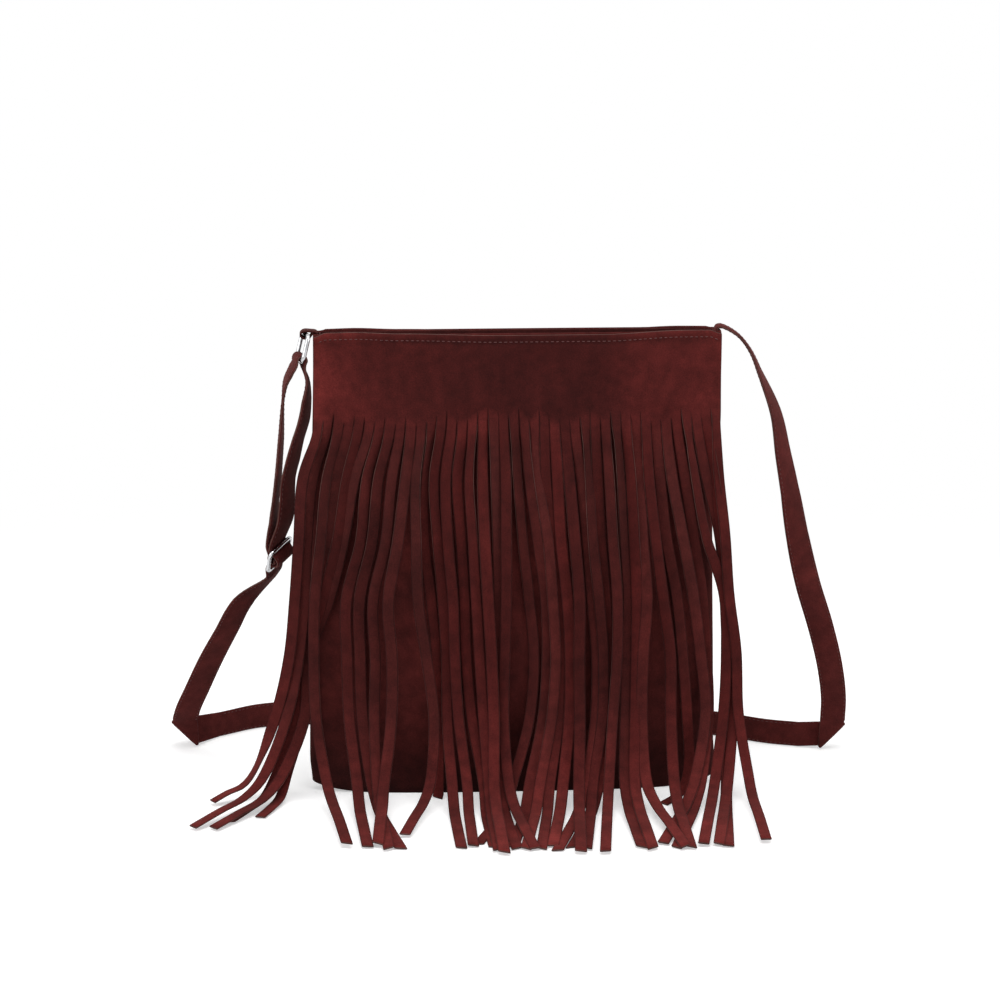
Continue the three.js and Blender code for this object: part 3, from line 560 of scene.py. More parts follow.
def at_height(column, row, z):
    """The place at one height that the photograph shows at a pixel."""
    sine, cosine = math.sin(VIEW_AIM), math.cos(VIEW_AIM)
    slope = (PICTURE_Y - row) / FOCAL
    away = (slope * (VIEW_HEIGHT - z) * sine - (z - VIEW_HEIGHT) * cosine) / (sine - slope * cosine)
    depth = away * cosine + (VIEW_HEIGHT - z) * sine
    sideways = (column - PICTURE_X) * depth / FOCAL
    back = away - VIEW_BACK
    x = sideways * math.cos(VIEW_TURN) + back * math.sin(VIEW_TURN)
    return x, -sideways * math.sin(VIEW_TURN) + back * math.cos(VIEW_TURN)


def read_column(reading, row):
    """Where a strip was seen across the picture at any row, straight between its readings."""
    rows = [*READ_ROWS, max(reading[7], READ_ROWS[-1] + 1)]
    places = sorted(zip(rows, reading[:7]))
    for (low, start), (high, end) in zip(places, places[1:]):
        if row <= high:
            return start + (end - start) * (row - low) / (high - low)
    return reading[6]


def strip_places(reading):
    """A strip's x at each of HEIGHTS, its tip's x and y to the millimetre, and its layer."""
    x_tip, y_tip = at_height(reading[6], reading[7], 1)
    places = []
    for z, share in zip(HEIGHTS, FLOOR_SHARES):
        hang = HANG_HIGH if z > 120 else HANG_LOW
        y = hang + share * (y_tip - HANG_LOW)
        x = (reading[0] - PICTURE_X) / PIXELS_PER_MM
        for _ in range(8):
            column, row = in_picture(x, y, z)
            x += (read_column(reading, row) - column) / PIXELS_PER_MM
        places.append(round(x))
    return (*places, round(x_tip), round(y_tip), reading[8])


STRIPS = [strip_places(reading) for reading in STRIP_READINGS]


def root_of(i):
    return -BAG_WIDTH / 2 + MOUTH_TAPER + STRIP_PITCH * (i + 0.5)


def slit_tops():
    """The height at which each slit starts. The cutting was uneven."""
    pick = random.Random(7)
    tops = [SLIT_TOP + pick.uniform(-2, 8.5) for _ in range(STRIP_COUNT + 1)]
    tops[0] = tops[-1] = SLIT_TOP
    return tops


def strip_turns():
    """How far each strip is turned on its own length just below the band, in radians, and lower down."""
    pick = random.Random(5)
    turns = []
    for i in range(STRIP_COUNT):
        side = 1 if (i * 7) % 5 < 2 else -1
        own = pick.uniform(8, 46) * (0.5 if i in (0, 1, 3, 4, 5) else 1)
        turns.append((side * math.radians(own), math.radians(pick.uniform(-12, 12))))
    return turns


TURNS = strip_turns()


def strip_turn(i, share):
    own, low = TURNS[i]
    half = STRIP_WIDTH / 2
    root = root_of(i)
    slope = math.atan2(depth_at(root + half, SLIT_TOP) - depth_at(root - half, SLIT_TOP), STRIP_WIDTH)
    turn = own * along([(0, 0), (0.07, 1), (0.2, 0.75), (0.42, 0)], share)
    turn += low * along([(0.3, 0), (0.6, 1), (0.85, 0)], share)
    return turn + slope * along([(0, 1), (0.12, 0)], share)


def strip_path(i, top):
    *seen, x_tip, y_tip, layer = STRIPS[i]
    root = root_of(i)
    edge = BAG_WIDTH / 2 - STRIP_WIDTH

    def stand(share):
        turned = STRIP_WIDTH / 2 * abs(math.sin(strip_turn(i, share)))
        layered = layer * LAYER_STEP * along([(0, 0), (0.3, 1), (1, 1)], share)
        return SUEDE / 2 + 2 * CLEARANCE + turned + layered

    def front(x, z, share):
        widest = depth_at(math.copysign(max(0.0, abs(x) - STRIP_WIDTH / 2), x), z)
        clear = half_end(z) + EDGE_STAND if abs(x) > edge else 0.0
        return -max(widest, clear) - stand(share)

    points = [(root, -depth_at(root, top) - CLEARANCE - SUEDE / 2, top)]
    near = root + (seen[0] - root) * 0.2
    points.append((near, front(near, top - 12, 0.05), top - 12))
    for x, z, share in zip(seen[:4], HEIGHTS[:4], (0.13, 0.25, 0.37, 0.5)):
        points.append((x, front(x, z, share), z))
    y_hang = points[-1][1]
    reach = y_tip - y_hang
    for x, z, part in zip(seen[4:], HEIGHTS[4:], FLOOR_SHARES[4:]):
        points.append((x, y_hang + reach * part, z))
    x_low = seen[5]
    lie = TIP_LIFT + layer * LAYER_STEP * 0.8
    points.append((x_low + (x_tip - x_low) * 0.26, y_hang + reach * 0.42, lie + 2.5))
    points.append((x_low + (x_tip - x_low) * 0.62, y_hang + reach * 0.7, lie))
    points.append((x_tip, y_tip, TIP_LIFT + layer * LAYER_STEP * 0.3))
    return smooth_path(points, STRIP_ROWS)


def strip_frames(path, i):
    """For each row of a strip: its centre, the direction across it and the direction of its face."""
    frames = []
    last = len(path) - 1
    for k, centre in enumerate(path):
        tangent = (path[min(last, k + 1)] - path[max(0, k - 1)]).normalized()
        if k == 0:
            tangent = Vector((0, 0, -1))
        share = k / last
        level = Vector((-tangent.y, tangent.x, 0))
        level = level.normalized() if level.length > 1e-6 else Vector((1, 0, 0))
        sideways = Vector((1, 0, 0)).lerp(level, along([(0.7, 0), (0.9, 1)], share))
        sideways -= tangent * tangent.dot(sideways)
        sideways.normalize()
        out = tangent.cross(sideways).normalized()
        turn = strip_turn(i, share)
        across = sideways * math.cos(turn) + out * math.sin(turn)
        face = tangent.cross(across).normalized()
        frames.append((Vector((centre.x, centre.y, max(centre.z, TIP_LIFT))), across, face))
    return frames


# The band's colour across its width is lighter at both ends and darker in the middle. This is partly
# brushed nap and partly painted side light and shade.
BAND_NAP_AND_PAINTED_LIGHT = [(-124, 1.5), (-104, 1.22), (-78, 0.74), (0, 0.56), (40, 0.6), (75, 0.98), (124, 1.24)]
# Each strip's colour along its length is darker below the band and much lighter towards the tip: painted
# shade, and painted light from above and off the floor.
STRIP_PAINTED_LIGHT_AND_SHADE = [(0, 1), (0.12, 0.8), (0.35, 0.84), (0.55, 0.8), (0.75, 1.16), (1, 1.7)]


def band_swell(x, z):
    """How far the band stands off: soft waves, a groove along its stitches, and puckers under them."""
    below = BAG_HEIGHT - z
    end = along([(0, 1), (112, 1), (122, 0)], abs(x))
    wave = 0.45 * math.sin(x / 17 + z / 29 + 0.6) + 0.35 * math.sin(x / 9.3 - z / 15 + 2)
    wave = max(0.0, wave + 0.45) * along([(0, 0), (12, 1), (40, 1), (50, 0)], below)
    groove = 0.35 * math.exp(-(((below - 3.9) / 1.5) ** 2))
    pucker = 0.3 * (1 + math.sin(x * 1.15 + 1.6 * math.sin(x / 7)))
    pucker *= along([(0, 0), (4, 1), (15, 0)], below)
    pucker *= along([(-118, 1), (-60, 0.9), (-20, 0.45), (60, 0.45), (118, 0.7)], x)
    return max(0.0, (0.35 + wave + pucker) * end - groove)


def make_fringe():
    tops = slit_tops()
    pick = random.Random(11)
    verts = []
    faces = []
    marks = []
    tones = []

    def add(p, tone=1.0, brown=1.0):
        verts.append(Vector(p))
        tones.append((tone, tone * brown, tone * brown, 1))
        return len(verts) - 1

    def add_face(loop, mark):
        faces.append(loop)
        marks.append(mark)

    # The band, with one column of faces between each two places across a strip
    rows = 22
    columns = []
    for i in range(STRIP_COUNT):
        for s in ACROSS[:-1]:
            columns.append((root_of(i) + s * STRIP_PITCH / 2, i, s))
    columns.append((root_of(STRIP_COUNT - 1) + STRIP_PITCH / 2, STRIP_COUNT - 1, 1.0))
    grid = {}
    for c, (x, i, s) in enumerate(columns):
        low = tops[i] + (tops[i + 1] - tops[i]) * (s + 1) / 2
        for r in range(rows + 1):
            z = BAG_HEIGHT + 0.35 + (low - BAG_HEIGHT - 0.35) * r / rows
            depth = depth_at(x, min(z, BAG_HEIGHT)) + CLEARANCE + band_swell(x, z)
            z += rim_lift(x, z)
            soft = 0.25 if r == 0 else 0.0
            tone = along(BAND_NAP_AND_PAINTED_LIGHT, x)
            # Painted shadow: the band's colour darkens in a thin line along the groove under the rim
            # stitches.
            tone *= 1 - 0.35 * math.exp(-(((BAG_HEIGHT - z - 4.2) / 1.3) ** 2))
            grid[c, r, 0] = add((x, -depth - SUEDE + soft, z - soft), tone)
            grid[c, r, 1] = add((x, -depth, z))
    for c in range(len(columns) - 1):
        for r in range(rows):
            a, b = grid[c, r, 0], grid[c + 1, r, 0]
            d, e = grid[c + 1, r + 1, 0], grid[c, r + 1, 0]
            add_face((a, e, d, b), 0)
            a, b = grid[c, r, 1], grid[c + 1, r, 1]
            d, e = grid[c + 1, r + 1, 1], grid[c, r + 1, 1]
            add_face((a, b, d, e), 0)
        add_face((grid[c, 0, 0], grid[c + 1, 0, 0], grid[c + 1, 0, 1], grid[c, 0, 1]), 1)
    for c, order in ((0, 1), (len(columns) - 1, -1)):
        for r in range(rows):
            loop = (grid[c, r, 0], grid[c, r, 1], grid[c, r + 1, 1], grid[c, r + 1, 0])
            add_face(loop[::order], 1)

    # The strips
    for i in range(STRIP_COUNT):
        top = (tops[i] + tops[i + 1]) / 2
        frames = strip_frames(strip_path(i, top), i)
        tone = pick.uniform(0.78, 1.16)
        cut_width = STRIP_WIDTH * pick.uniform(0.98, 1.08)
        curl = pick.uniform(-0.5, 0.5)
        cut = pick.uniform(-2.2, 2.2)
        brown = pick.uniform(0.85, 1.35)
        start = i * (len(ACROSS) - 1)
        front = [grid[start + k, rows, 0] for k in range(len(ACROSS))]
        rear = [grid[start + k, rows, 1] for k in range(len(ACROSS))]
        last = len(frames) - 1
        for k in range(1, len(frames)):
            centre, across, face = frames[k]
            share = k / last
            fallen = (frames[0][0] - centre).length
            round_off = 0.5 if k == 1 else 0.24
            wide = cut_width * along([(0, 1), (0.12, SPREAD)], share)
            new_front = []
            new_rear = []
            # shade is the strip's own tone times the painted light and shade along its length.
            shade = tone * along(STRIP_PAINTED_LIGHT_AND_SHADE, share)
            for s in ACROSS:
                shift = (tops[i] - top) * -s * math.exp(-fallen / 6)
                bowed = curl * (1 - s * s) * along([(0, 0), (0.15, 1), (0.9, 1), (1, 0.2)], share)
                half = round_off if abs(s) == 1 else 0.5
                middle = centre + across * (s * wide / 2) + Vector((0, 0, shift)) - face * bowed
                if k == last:
                    middle += (frames[k][0] - frames[k - 1][0]).normalized() * cut * s
                # Each strip's two edges are darker in colour. This is partly its dark cut edges and partly
                # painted shade of the gaps between strips.
                edge_dark_and_gap_shade = 0.5 if abs(s) == 1 else 1.0
                tint = 1 + (brown - 1) * along([(0, 0), (0.1, 1), (0.6, 0.6), (0.8, 0)], share)
                new_front.append(add(middle + face * (half * STRIP_THICKNESS), shade * edge_dark_and_gap_shade, tint))
                new_rear.append(add(middle - face * (half * STRIP_THICKNESS), shade * 0.8 * edge_dark_and_gap_shade, tint))
            for c in range(len(ACROSS) - 1):
                add_face((front[c], new_front[c], new_front[c + 1], front[c + 1]), 0)
                add_face((rear[c], rear[c + 1], new_rear[c + 1], new_rear[c]), 0)
            add_face((front[0], rear[0], new_rear[0], new_front[0]), 1)
            add_face((front[-1], new_front[-1], new_rear[-1], rear[-1]), 1)
            front, rear = new_front, new_rear
        for c in range(len(ACROSS) - 1):
            add_face((front[c], rear[c], rear[c + 1], front[c + 1]), 1)
    fringe = piece("fringe", verts, faces, marks=marks)
    colour = fringe.data.color_attributes.new("tone", "FLOAT_COLOR", "POINT")
    colour.data.foreach_set("color", [v for t in tones for v in t])
    outward(fringe)
    fringe.data.materials.append(SUEDE_STRIP)
    fringe.data.materials.append(SUEDE_EDGE)
    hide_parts("fringe_panel")
    return fringe


# The ring, the slider and the tab

TOP_BAR_X = -(BAG_WIDTH / 2 - MOUTH_TAPER) - SUEDE - CLEARANCE - BAR
TOP_BAR = Vector((TOP_BAR_X, 0, BAG_HEIGHT - CLEARANCE - WRAP_PLAY))
RING_ACROSS = Vector((math.sin(RING_YAW), -math.cos(RING_YAW), 0))
RING_OUT = Vector((-math.cos(RING_YAW), -math.sin(RING_YAW), 0))
RING_DOWN = RING_OUT * math.sin(RING_TILT) + Vector((0, 0, -math.cos(RING_TILT)))
RING_FACE = RING_OUT * math.cos(RING_TILT) + Vector((0, 0, math.sin(RING_TILT)))
LOWER_BAR = TOP_BAR + RING_DOWN * RING_HEIGHT
METAL_HALF = STRAP_WIDTH / 2 + METAL_SIDE_PLAY

SLIDER_CENTRE = Vector((-144.3, 10, 145.9))
SLIDER_ACROSS = Vector((0.6, 0.69, 0.4)).normalized()
SLIDER_DOWN = Vector((-0.34, 0.3, -0.89))
SLIDER_DOWN = (SLIDER_DOWN - SLIDER_ACROSS * SLIDER_DOWN.dot(SLIDER_ACROSS)).normalized()
SLIDER_FACE = SLIDER_DOWN.cross(SLIDER_ACROSS).normalized()


def rounded_rectangle(centre, across, down, half_across, half_down, radius, corner_steps=8):
    points = []
    for s, t, start in ((1, 1, 0), (-1, 1, 90), (-1, -1, 180), (1, -1, 270)):
        for k in range(corner_steps + 1):
            a = math.radians(start + 90 * k / corner_steps)
            along_across = s * (half_across - radius) + radius * math.cos(a)
            along_down = t * (half_down - radius) + radius * math.sin(a)
            points.append(centre + across * along_across + down * along_down)
    return points


def wire_sections(points, normal, diameter, sides=20):
    sections = []
    count = len(points)
    for i, p in enumerate(points):
        tangent = (points[(i + 1) % count] - points[i - 1]).normalized()
        side = tangent.cross(normal).normalized()
        ring = []
        for k in range(sides):
            a = math.tau * k / sides
            spread = side * math.cos(a) + normal * math.sin(a)
            ring.append(p + spread * (diameter / 2))
        sections.append(ring)
    return sections


def make_ring():
    centre = TOP_BAR + RING_DOWN * (RING_HEIGHT / 2)
    half = METAL_HALF + BAR / 2
    path = rounded_rectangle(centre, RING_ACROSS, RING_DOWN, half, RING_HEIGHT / 2, 3.2)
    ring = outward(piece("ring", *skin(wire_sections(path, RING_FACE, BAR), joined=True), body="ring"))
    ring.data.materials.append(CHROME)
    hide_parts("strap_ring")
    return ring


def make_slider():
    half = METAL_HALF + SLIDER_BAR / 2
    path = rounded_rectangle(SLIDER_CENTRE, SLIDER_ACROSS, SLIDER_DOWN, half, SLIDER_BAR_PITCH, 2.4)
    verts, faces = skin(wire_sections(path, SLIDER_FACE, SLIDER_BAR), joined=True)
    ends = [SLIDER_CENTRE + SLIDER_ACROSS * (half * s) for s in (-1, -0.9, 0.9, 1)]
    bar_sections = []
    for p in ends:
        ring = []
        for k in range(20):
            a = math.tau * k / 20
            spread = SLIDER_DOWN * math.cos(a) + SLIDER_FACE * math.sin(a)
            ring.append(p + spread * (SLIDER_BAR / 2 * 0.92))
        bar_sections.append(ring)
    bar_verts, bar_faces = skin(bar_sections)
    faces += [tuple(len(verts) + n for n in f) for f in bar_faces]
    slider = outward(piece("slider", verts + bar_verts, faces))
    slider.data.materials.append(CHROME)
    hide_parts("strap_slider")
    return slider


TAB_SECTION = [(-1, -0.25), (-0.9, -0.5), (0.9, -0.5), (1, -0.25)]
TAB_SECTION += [(-s, -t) for s, t in TAB_SECTION]


def make_tab():
    """Doubled suede round the ring's top bar, over the rim and down inside the mouth's left end."""
    inner = BAR / 2 + 0.4
    ply = 1.0
    slack = TAB_WIDTH / 2 * math.tan(RING_YAW)
    wall_outside = -(BAG_WIDTH / 2 - MOUTH_TAPER)
    wall_inside = wall_outside + SUEDE + CLEARANCE
    rim_top = BAG_HEIGHT + CLEARANCE
    line = [(wall_inside + ply, BAG_HEIGHT - STRAP_TAIL), (wall_inside + ply, rim_top - 1)]
    line += [(wall_inside + ply - 0.4, rim_top + 0.5), (wall_inside - 0.6, rim_top + ply)]
    line += [(wall_outside - 1.2, rim_top + ply + 0.2)]
    for a in range(80, 331, 18):
        reach = inner + ply / 2
        turn = math.radians(a)
        x = TOP_BAR.x + (reach + slack) * math.cos(turn)
        line.append((x, TOP_BAR.z + reach * math.sin(turn)))
    line += [(wall_outside - CLEARANCE - 0.5, rim_top - 1.0), (wall_outside, rim_top + 0.3)]
    path = smooth_path([(x, 0, z) for x, z in line], 70)
    sections = []
    last = len(path) - 1
    for k, p in enumerate(path):
        tangent = (path[min(last, k + 1)] - path[max(0, k - 1)]).normalized()
        out = tangent.cross(Vector((0, 1, 0))).normalized()
        half = TAB_WIDTH / 2
        ring = []
        for s, t in TAB_SECTION:
            ring.append(p + Vector((0, half * s, 0)) + out * (t * ply))
        sections.append(ring)
    tab = outward(piece("ring_tab_suede", *skin(sections)))
    tab.data.materials.append(SUEDE_TAB)
    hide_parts("ring_tab")
    return tab


# The strap: one ribbon from the right end of the mouth, down to a fold on the floor, round the back,
# up from a second fold, through the slider, round the ring and back to the slider's middle bar

FOLD_HEIGHT = STRAP_WIDTH / 2 + 2
RIGHT_FOLD = Vector((206, 62, FOLD_HEIGHT))
LEFT_FOLD = Vector((-207, 92, FOLD_HEIGHT))
FLOOR_RUN = (
    (186, 68),
    (166, 76),
    (140, 93),
    (95, 112),
    (40, 123),
    (-20, 129),
    (-80, 134),
    (-130, 136),
    (-160, 131),
    (-186, 113),
)


def in_slider(down, out):
    return SLIDER_CENTRE + SLIDER_DOWN * down + SLIDER_FACE * out


def strap_wrap(bar):
    return bar / 2 + CLEARANCE + STRAP / 2


def ribbon_run(stations, steps):
    """(centre, vector to one edge, face direction) along stations of (centre, direction across, width)."""
    pts = [Vector(s[0]) for s in stations]
    pts = [pts[0] * 2 - pts[1], *pts, pts[-1] * 2 - pts[-2]]
    centres = []
    blends = []
    for k in range(1, len(pts) - 2):
        for j in range(steps + (1 if k == len(pts) - 3 else 0)):
            centres.append(spline_point(pts[k - 1 : k + 3], j / steps))
            blends.append((k - 1, j / steps))
    frames = []
    last = len(centres) - 1
    for n, (centre, (k, t)) in enumerate(zip(centres, blends)):
        tangent = (centres[min(last, n + 1)] - centres[max(0, n - 1)]).normalized()
        across = Vector(stations[k][1]).lerp(Vector(stations[k + 1][1]), t)
        width = stations[k][2] + (stations[k + 1][2] - stations[k][2]) * t
        across -= tangent * across.dot(tangent)
        across.normalize()
        frames.append((centre, across * (width / 2), tangent.cross(across).normalized()))
    return frames


def fold_frames(centre, crease, out, in_front):
    """A diagonal fold: the strap turns over a crease, from one flat ply in front to one behind."""
    half = crease * (STRAP_WIDTH / 2 * math.sqrt(2))
    gap = STRAP / 2 + CLEARANCE + WRAP_PLAY
    frames = []
    for k in range(9):
        a = math.pi * k / 8
        face = Vector((0, -1 if in_front else 1, 0)) * math.cos(a) + out * math.sin(a)
        frames.append((centre + face * gap, half, face))
    return frames


def strap_frames():
    sideways = Vector((0, 1, 0))
    tail_x = BAG_WIDTH / 2 - MOUTH_TAPER - SUEDE - CLEARANCE - STRAP / 2
    over_rim = BAG_HEIGHT + CLEARANCE + STRAP / 2
    wide = STRAP_WIDTH
    end = STRAP_END_WIDTH
    right_run = [
        ((tail_x, 0, BAG_HEIGHT - STRAP_TAIL), sideways, end),
        ((tail_x - 0.1, 0, BAG_HEIGHT - 1), sideways, end),
        ((tail_x + 0.3, 0, over_rim), sideways, end),
        ((tail_x + 1.6, 0, over_rim + 0.9), sideways, end),
        ((tail_x + 4.2, 0, over_rim + 0.5), sideways, end + 2),
        ((132.5, 1.5, 279.5), sideways, wide),
        ((141, 5, 269), (0.1, 1, 0), wide),
        ((148, 8, 254), (0.22, 1, 0), wide),
        ((158.5, 12, 229), (0.55, 1, 0), wide),
        ((164, 15, 203), (0.9, 1, 0), wide),
        ((169, 18, 180), (1.2, 1, 0), wide),
        ((175, 22, 150), (2.1, 1, 0), wide),
        ((183, 28, 119), (4, 1, 0), wide),
        ((193.5, 37, 88), (1, 0, 0), wide),
        ((201.5, 46, 60), (1, 0, 0), wide),
        ((206, 55, 36), (1, 0, 0), wide),
        ((206.5, 59.5, 20), (1, 0, 0), wide),
    ]
    diagonal = math.sqrt(0.5)
    up_right = Vector((diagonal, 0, diagonal))
    down_right = Vector((diagonal, 0, -diagonal))
    right_fold = fold_frames(RIGHT_FOLD, up_right, down_right, True)
    floor_run = [((x, y, STRAP_WIDTH / 2 + 0.5), (0, 0, 1), wide) for x, y in FLOOR_RUN]
    left_fold = fold_frames(LEFT_FOLD, -down_right, -up_right, False)
    weave = -SLIDER_ACROSS

    ring_turn = strap_wrap(BAR) + WRAP_PLAY
    bar_turn = strap_wrap(SLIDER_BAR)
    clear_bar = SLIDER_BAR / 2 + CLEARANCE + STRAP / 2
    over_bar = bar_turn + STRAP + CLEARANCE
    behind_both = clear_bar + STRAP + 2 * CLEARANCE
    pitch = SLIDER_BAR_PITCH

    def round_ring(degrees, down=0.0):
        a = math.radians(degrees)
        around = RING_FACE * (ring_turn * math.cos(a)) - RING_DOWN * (ring_turn * math.sin(a))
        return LOWER_BAR + around + RING_DOWN * down

    def round_bar(degrees):
        a = math.radians(degrees)
        return in_slider(bar_turn * math.sin(a), bar_turn * math.cos(a))

    left_run = [
        ((-207.2, 86, 20), (-1, 0, 0), wide),
        ((-204.5, 78, 30), (-1, -0.15, 0.05), wide),
        ((-198.8, 69, 44), (-1, -0.3, 0.2), wide),
        ((-188.8, 54, 68), (-0.95, -0.4, 0.25), wide),
        ((-178, 38, 91), (-0.9, -0.5, 0.2), wide),
        ((-166.9, 25, 113), (-0.8, -0.5, 0.1), wide),
        (in_slider(pitch + 12, -1.6), weave, wide),
        (in_slider(pitch + 1.5, -clear_bar), weave, wide),
        (in_slider(pitch - 2, 0.7 - clear_bar), weave, wide),
        (in_slider(pitch / 2, 1.9), weave, wide),
        (in_slider(1.6, over_bar - 0.1), weave, wide),
        (in_slider(-1.6, over_bar), weave, wide),
        (in_slider(-pitch / 2, 2.4), weave, wide),
        (in_slider(1.2 - pitch, -clear_bar), weave, wide),
        (in_slider(-pitch - 1.5, -clear_bar - 0.3), weave, wide),
        ((-140.2, 4, 168.4), (-0.6, -0.75, -0.3), wide),
        ((-138.8, 4, 180.7), (-0.52, -0.8, -0.2), wide),
        ((-138, 4, 193), (-0.52, -0.85, -0.15), wide),
        ((-135, 4, 205.3), (-0.52, -0.85, -0.1), wide),
        ((-131.8, 4, 217.5), (-0.43, -0.9, 0), wide),
        ((-128, 4, 229.7), (-0.41, -0.91, 0), wide),
        ((-126.3, 3.5, 242), (-0.3, -0.95, 0), wide),
        ((-125.8, 1.5, 254), (-0.05, -1, 0), wide),
        (round_ring(205, 2), RING_ACROSS, wide),
        (round_ring(160), RING_ACROSS, wide),
        (round_ring(115), RING_ACROSS, wide),
        (round_ring(65), RING_ACROSS, wide),
        (round_ring(20), RING_ACROSS, wide),
        (round_ring(-25, 2), RING_ACROSS, wide),
        ((-135.3, 0.2, 260.5), RING_ACROSS, wide),
        ((-138.8, 3.2, 252.5), (0.1, -1, 0), wide),
        ((-140.4, 5, 242), (0, -1, 0), wide),
        ((-142, 5, 217.5), (-0.15, -1, 0), wide),
        ((-144.2, 5, 193), (-0.2, -1, 0), wide),
        ((-145.8, 5, 180.6), (-0.2, -1, -0.05), wide),
        ((-147, 5.5, 168.2), (-0.3, -0.95, -0.15), wide),
        (in_slider(-pitch, -behind_both), weave, wide),
        (in_slider(-3, -bar_turn - 0.1), weave, wide),
        (round_bar(180), weave, wide),
        (round_bar(135), weave, wide),
        (round_bar(90), weave, wide),
        (round_bar(45), weave, wide),
        (round_bar(0), weave, wide),
        (round_bar(-40), weave, wide),
    ]
    right, low, left = (ribbon_run(run, 8) for run in (right_run, floor_run, left_run))
    return [right, right_fold, low, left_fold, left]


STRAP_SECTION = [
    (-1.0, -0.22),
    (-0.93, -0.46),
    (-0.84, -0.4),
    (-0.76, -0.5),
    (0.0, -0.52),
    (0.76, -0.5),
    (0.84, -0.4),
    (0.93, -0.46),
    (1.0, -0.22),
]
STRAP_SECTION += [(-s, -t) for s, t in STRAP_SECTION]


def make_strap():
    frames = [f for run in strap_frames() for f in run]
    sections = [[c + h * s + face * (t * STRAP) for s, t in STRAP_SECTION] for c, h, face in frames]
    verts, faces = skin(sections)
    count = len(STRAP_SECTION)
    marks = [1 if k % count in (8, 17) else 0 for k in range(len(faces) - 2)] + [1, 1]
    strap = outward(piece("strap", verts, faces, body=None, marks=marks))
    strap.data.materials.append(SUEDE_STRAP)
    strap.data.materials.append(SUEDE_EDGE)
    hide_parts("shoulder_strap")
    return strap


def blended(obj):
    """Bakes the object's place into its mesh."""
    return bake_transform(obj)


# Stitches: short threads laid along a line of (place, direction along, direction out)


def stitch_mesh(name, runs, length, pitch, thickness, sides=6, body="bag"):
    """Each stitch is a short thread that dips into the suede at both ends."""
    verts = []
    faces = []
    for run in runs:
        points = [p for p, _ in run]
        outs = [o for _, o in run]
        lengths = [0.0]
        for a, b in zip(points, points[1:]):
            lengths.append(lengths[-1] + (b - a).length)

        def at(distance):
            k = 0
            while k < len(lengths) - 2 and lengths[k + 1] < distance:
                k += 1
            t = (distance - lengths[k]) / max(lengths[k + 1] - lengths[k], 1e-9)
            return points[k].lerp(points[k + 1], t), outs[k].lerp(outs[k + 1], t).normalized()

        place = pitch / 2
        while place + length < lengths[-1]:
            base = len(verts)
            rows = 5
            for r in range(rows):
                t = r / (rows - 1)
                p, out = at(place + length * t)
                ahead, _ = at(place + length * min(1, t + 0.1))
                behind, _ = at(place + length * max(0, t - 0.1))
                tangent = (ahead - behind).normalized()
                side = tangent.cross(out).normalized()
                rise = thickness * (math.sin(math.pi * t) * 0.75 - 0.3)
                for n in range(sides):
                    a = math.tau * n / sides
                    fat = thickness / 2 * (0.55 + 0.45 * math.sin(math.pi * t))
                    verts.append(p + out * (rise + math.sin(a) * fat) + side * (math.cos(a) * fat))
            for r in range(rows - 1):
                for n in range(sides):
                    m = (n + 1) % sides
                    a = base + r * sides
                    faces.append((a + n, a + m, a + sides + m, a + sides + n))
            faces.append(tuple(base + n for n in reversed(range(sides))))
            faces.append(tuple(base + (rows - 1) * sides + n for n in range(sides)))
            place += pitch
    made = outward(piece(name, verts, faces, body=body))
    made.data.materials.append(STITCH)
    return made


def rim_stitches():
    """A row of stitches below the rim, through the band in front and through the body behind."""
    runs = []
    half = BAG_WIDTH / 2 - MOUTH_TAPER - 2
    z = BAG_HEIGHT - 3.7
    for side, stand in ((-1, CLEARANCE + SUEDE), (1, 0.0)):
        run = []
        for k in range(121):
            x = -half + 2 * half * k / 120
            slope = (depth_at(x + 0.5, z) - depth_at(x - 0.5, z)) * side
            out = Vector((-slope * side, side, 0)).normalized()
            off = band_swell(x, z) if side < 0 else 0.0
            run.append((Vector((x, side * (depth_at(x, z) + stand + off), z + rim_lift(x, z))), out))
        runs.append(run)
    return stitch_mesh("rim_stitches", runs, 2.1, 3.1, 0.5)


def strap_stitches():
    runs = []
    for frames in strap_frames()[::2]:
        for s in (-0.84, 0.84):
            for t in (-1, 1):
                runs.append([(c + h * s + face * (t * 0.38 * STRAP), face * t) for c, h, face in frames])
    return stitch_mesh("strap_stitches", runs, 2.0, 3.0, 0.42, sides=5, body=None)


# The inside

FACING = 1.0
FACING_HEIGHT = 30
LINING = 0.6
FACING_END_INSET = SUEDE + CLEARANCE + STRAP + CLEARANCE


def make_facing():
    bottom = BAG_HEIGHT - FACING_HEIGHT
    levels = [bottom, bottom + 0.4, *[bottom + FACING_HEIGHT * k / 8 for k in range(1, 8)]]
    levels += [BAG_HEIGHT - 0.6, BAG_HEIGHT - 0.3]
    inset = SUEDE + CLEARANCE
    outer = [bag_ring(z, inset, 36, FACING_END_INSET) for z in levels]
    inner = [bag_ring(z, inset + FACING, 36, FACING_END_INSET + FACING) for z in reversed(levels)]
    facing = outward(piece("facing", *skin([*outer, *inner], joined=True)))
    facing.data.materials.append(SUEDE_TAB)
    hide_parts("mouth_facing")
    return facing


